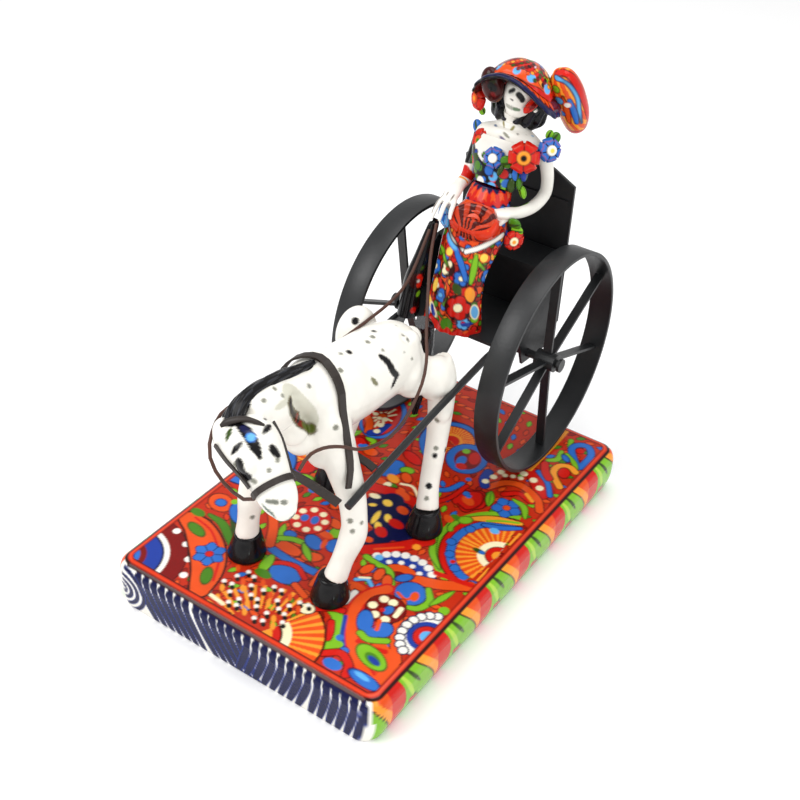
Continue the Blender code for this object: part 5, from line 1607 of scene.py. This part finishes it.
def paint_train(p):
    p.colour[:] = BLACK
    solid_flower(p, (-36, 97, 240), (0.4, -0.9, 0.1), 8, 5, RED, WHITE)
    p.stroke(((-34, 102, 256), (-36, 99, 250)), 5, GREEN, MOSS, 0.6, 0.5)
    p.stroke(((-30, 98, 228), (-34, 96, 224)), 6, LIME, MOSS, 0.6, 0.5)
    p.dab((-37, 101, 247), 2.6, BLUE)
    p.stroke(((-40, 96, 216), (-44, 93, 208)), 6, GREEN, MOSS, 0.6, 0.5)
    p.dab((-34, 92, 208), 4, RED)
    p.dab((-44, 96, 230), 3, MOSS)
    p.dab((-50, 99, 206), 4, COBALT)
    for level in (206, 228, 250, 272):
        p.dab((-46, 112, level), 3.6, (RED, BLUE, GREEN, RED)[int(level) % 4], MAROON)


dress("Dress_train", (((-36, 121, 293), 2.4, 4), ((-36, 120, 290), 4, 8), ((-38, 107, 262), 7, 9),
                      ((-42, 100, 236), 9, 10), ((-45, 98, 199.5), 10, 13)), ("dress_train",),
      paint_train, 90, 80, "black_glaze")


# arms and hands -------------------------------------------------------
def build_arm(name, table, node, fingers, marks):
    parts = [loft(table, 28, 60)[:2]]
    for line, thick in fingers:
        rows = spline(line, 8)
        section = [(tuple(place), thick * size, thick * size)
                   for place, size in zip(rows, (0.9, 1, 1, 1, 1, 0.95, 0.85, 0.6))]
        parts.append(loft(section, 14, 18)[:2])
    verts, faces = melted(parts, 0.8, 3, "arm_form")
    p = Paint(verts, WHITE, 0.8)
    for route, width, colour in marks:
        p.stroke(route, width, colour, None, taper=0.3)
    glazed(name, verts, faces, "white_glaze", p.colour, (node,))


build_arm("Arm_left",
          (((38, 186, 364), 7.5, 7.5), ((41, 189, 348), 6.5, 6.5), ((42, 192, 332), 6, 6),
           ((41, 191, 319), 6, 6), ((38, 179, 311), 6, 6), ((33, 163, 309), 6, 5.5),
           ((24, 150, 310), 9, 5), ((17, 141, 311), 7, 4)), "arm_left",
          ((((20, 148, 309), (15, 140, 308), (12, 136, 303), (11, 135, 298)), 2.4),
           (((24, 147, 308), (20, 139, 306), (17, 136, 301), (16, 135, 296)), 2.4),
           (((28, 149, 307), (25, 141, 304), (22, 137, 299), (21, 136, 294)), 2.3)),
          ((((22, 150, 314), (24, 147, 313)), 2.6, tint(120, 140, 110)),
           (((18, 143, 312), (14, 138, 306)), 0.9, GREY),
           (((22, 143, 310), (18, 138, 304)), 0.9, GREY),
           (((36, 176, 313), (30, 166, 312), (27, 160, 313)), 6, LIME),
           (((33, 172, 313), (29, 165, 312)), 3, WHITE),
           (((38, 182, 313), (34, 174, 313)), 3.2, GREEN)))
build_arm("Arm_right",
          (((-29, 186, 362), 8, 8), ((-32, 186, 348), 8, 8), ((-33, 179, 334), 7.5, 7.5),
           ((-31, 168, 324), 6.5, 6.5), ((-30, 153, 321), 6, 6), ((-29, 139, 318), 8, 5.5),
           ((-28, 127, 313), 6, 4)), "arm_right",
          ((((-33, 135, 317), (-34, 125, 313), (-34, 117, 307), (-34, 113, 300)), 2.4),
           (((-28, 134, 317), (-27, 123, 313), (-26, 116, 307), (-25, 112, 301)), 2.4),
           (((-23, 136, 316), (-20, 127, 313), (-18, 120, 309), (-16, 116, 304)), 2.3)),
          ((((-38, 171, 328), (-31, 163, 331), (-24, 166, 326)), 11, RED),
           (((-37, 160, 325), (-31, 156, 328), (-24, 158, 323)), 3, AMBER),
           (((-37, 150, 320), (-35, 136, 319), (-35, 123, 315), (-35, 114, 306)), 1.6,
            tint(70, 38, 32)),
           (((-30, 133, 321), (-30, 121, 316), (-30, 114, 308)), 1.5, tint(70, 38, 32)),
           (((-24, 134, 320), (-23, 123, 315), (-21, 116, 309)), 1.5, tint(70, 38, 32)),
           (((-30, 186, 368), (-33, 184, 352), (-34, 177, 340)), 22, BLACK),
           (((-26, 177, 346), (-30, 172, 338)), 5, GREEN),
           (((-32, 176, 352), (-36, 174, 344)), 4, LIME),
           (((-28, 172, 332), (-26, 170, 329)), 3, SKY)))


# ------------------------------------------------------------------ iron and leather
def build_rim(side, label):
    sides = 180
    angle = 2 * math.pi * np.arange(sides) / sides
    rings = []
    for radius, x in ((115, -11.5), (115, 11.5), (114.6, 12.3), (113.8, 12.5), (111.6, 12.5),
                      (111, 11.9), (111, -11.9), (111.6, -12.5), (113.8, -12.5), (114.6, -12.3)):
        rings.append(np.stack((np.full(sides, side * 83.0 + x), 155 + radius * np.cos(angle),
                               166 + radius * np.sin(angle)), axis=1))
    verts, faces = skin(rings, cap=False)
    last = (len(rings) - 1) * sides
    for step in range(sides):
        follow = (step + 1) % sides
        faces.append((last + step, last + follow, follow, step))
    piece("Rim_" + label, verts, faces, IRON, "painted_iron", None, ("wheel_rim_" + label,),
          "wheel_" + label, 40)


build_rim(1, "left")
build_rim(-1, "right")

IRON_NODES = ("wheel_spokes_left", "wheel_spokes_right",
              "axle", "axle_end_left", "axle_end_right", "side_panel_left", "side_panel_right",
              "back_panel", "back_slat", "cart_floor", "seat_front_panel", "seat_board",
              "shaft_left", "shaft_right")
BROWBAND = (((0, -225, 275.5), 2.6, 1.6), ((3, -222.5, 279.5), 3.0, 2.0),
            ((10, -218, 283), 3.0, 2.0), ((16, -214, 283.5), 3.0, 2.0),
            ((22, -210.5, 281.5), 3.0, 2.0), ((26, -207, 278), 2.6, 1.6))
piece("Browband_strap", *loft(BROWBAND, 20, 50), LEATHER, "dark_leather", None, ("browband",))

LEATHER_NODES = ("back_strap", "breast_strap", "girth_strap", "noseband",
                 "cheek_strap_left", "cheek_strap_right")
for names, finish in ((IRON_NODES, IRON), (LEATHER_NODES, LEATHER)):
    for label in names:
        node = bpy.data.objects[label]
        for place in node.material_slots:
            place.material = finish
        if not node.material_slots:
            node.data.materials.append(finish)


# ------------------------------------------------------------------ stage
def build_stage():
    bpy.ops.mesh.primitive_plane_add(size=14.0, location=(0.0, 0.0, 0.0))
    floor = bpy.context.object
    floor.name = "Floor"
    made = bpy.data.materials.new("floor_white")
    made.use_nodes = True
    shader = made.node_tree.nodes["Principled BSDF"]
    cloud = made.node_tree.nodes.new("ShaderNodeTexNoise")
    cloud.inputs["Scale"].default_value = 3.0
    shade = made.node_tree.nodes.new("ShaderNodeMapRange")
    shade.inputs["To Min"].default_value = 0.96
    shade.inputs["To Max"].default_value = 0.98
    made.node_tree.links.new(cloud.outputs["Fac"], shade.inputs["Value"])
    made.node_tree.links.new(shade.outputs["Result"], shader.inputs["Base Color"])
    shader.inputs["Roughness"].default_value = 0.9
    floor.data.materials.append(made)
    for name, place, aim, size, power in (
            ("Key", (-0.9, -1.3, 1.9), (0, 0, 0.2), 1.2, 25.0),
            ("Fill", (1.9, -0.7, 1.2), (0, 0, 0.2), 1.4, 13.0),
            ("Top", (0.2, 0.4, 2.2), (0, 0, 0.2), 1.4, 17.0)):
        lamp = bpy.data.lights.new(name, "AREA")
        lamp.shape = "SQUARE"
        lamp.size = size
        lamp.energy = power
        thing = bpy.data.objects.new(name, lamp)
        bpy.context.collection.objects.link(thing)
        thing.location = place
        thing.rotation_euler = (Vector(aim) - Vector(place)).to_track_quat("-Z", "Y").to_euler()
    world = bpy.data.worlds.new("Studio")
    bpy.context.scene.world = world
    world.use_nodes = True
    bpy.context.scene.view_settings.view_transform = "Standard"
    ground = world.node_tree.nodes["Background"]
    ground.inputs["Color"].default_value = (1.0, 1.0, 1.0, 1.0)
    ground.inputs["Strength"].default_value = 0.75


def build_camera():
    around_, above, roll = math.radians(32.913), math.radians(36.304), math.radians(2.972)
    back = Vector((math.sin(around_) * math.cos(above), -math.cos(around_) * math.cos(above),
                   math.sin(above)))
    right = Vector((math.cos(around_), math.sin(around_), 0.0))
    up = back.cross(right)
    side = right * math.cos(roll) + up * math.sin(roll)
    over = -right * math.sin(roll) + up * math.cos(roll)
    target = Vector((-23.149, 44.804, 125.711)) * MM
    spot = target + back * 1.26468
    lens = bpy.data.cameras.new("Camera")
    lens.lens = 57.697
    lens.sensor_width = 36.0
    eye = bpy.data.objects.new("Camera", lens)
    bpy.context.collection.objects.link(eye)
    frame_ = Matrix((side, over, back)).transposed().to_4x4()
    eye.matrix_world = Matrix.Translation(spot) @ frame_
    bpy.context.scene.camera = eye


build_stage()
build_camera()
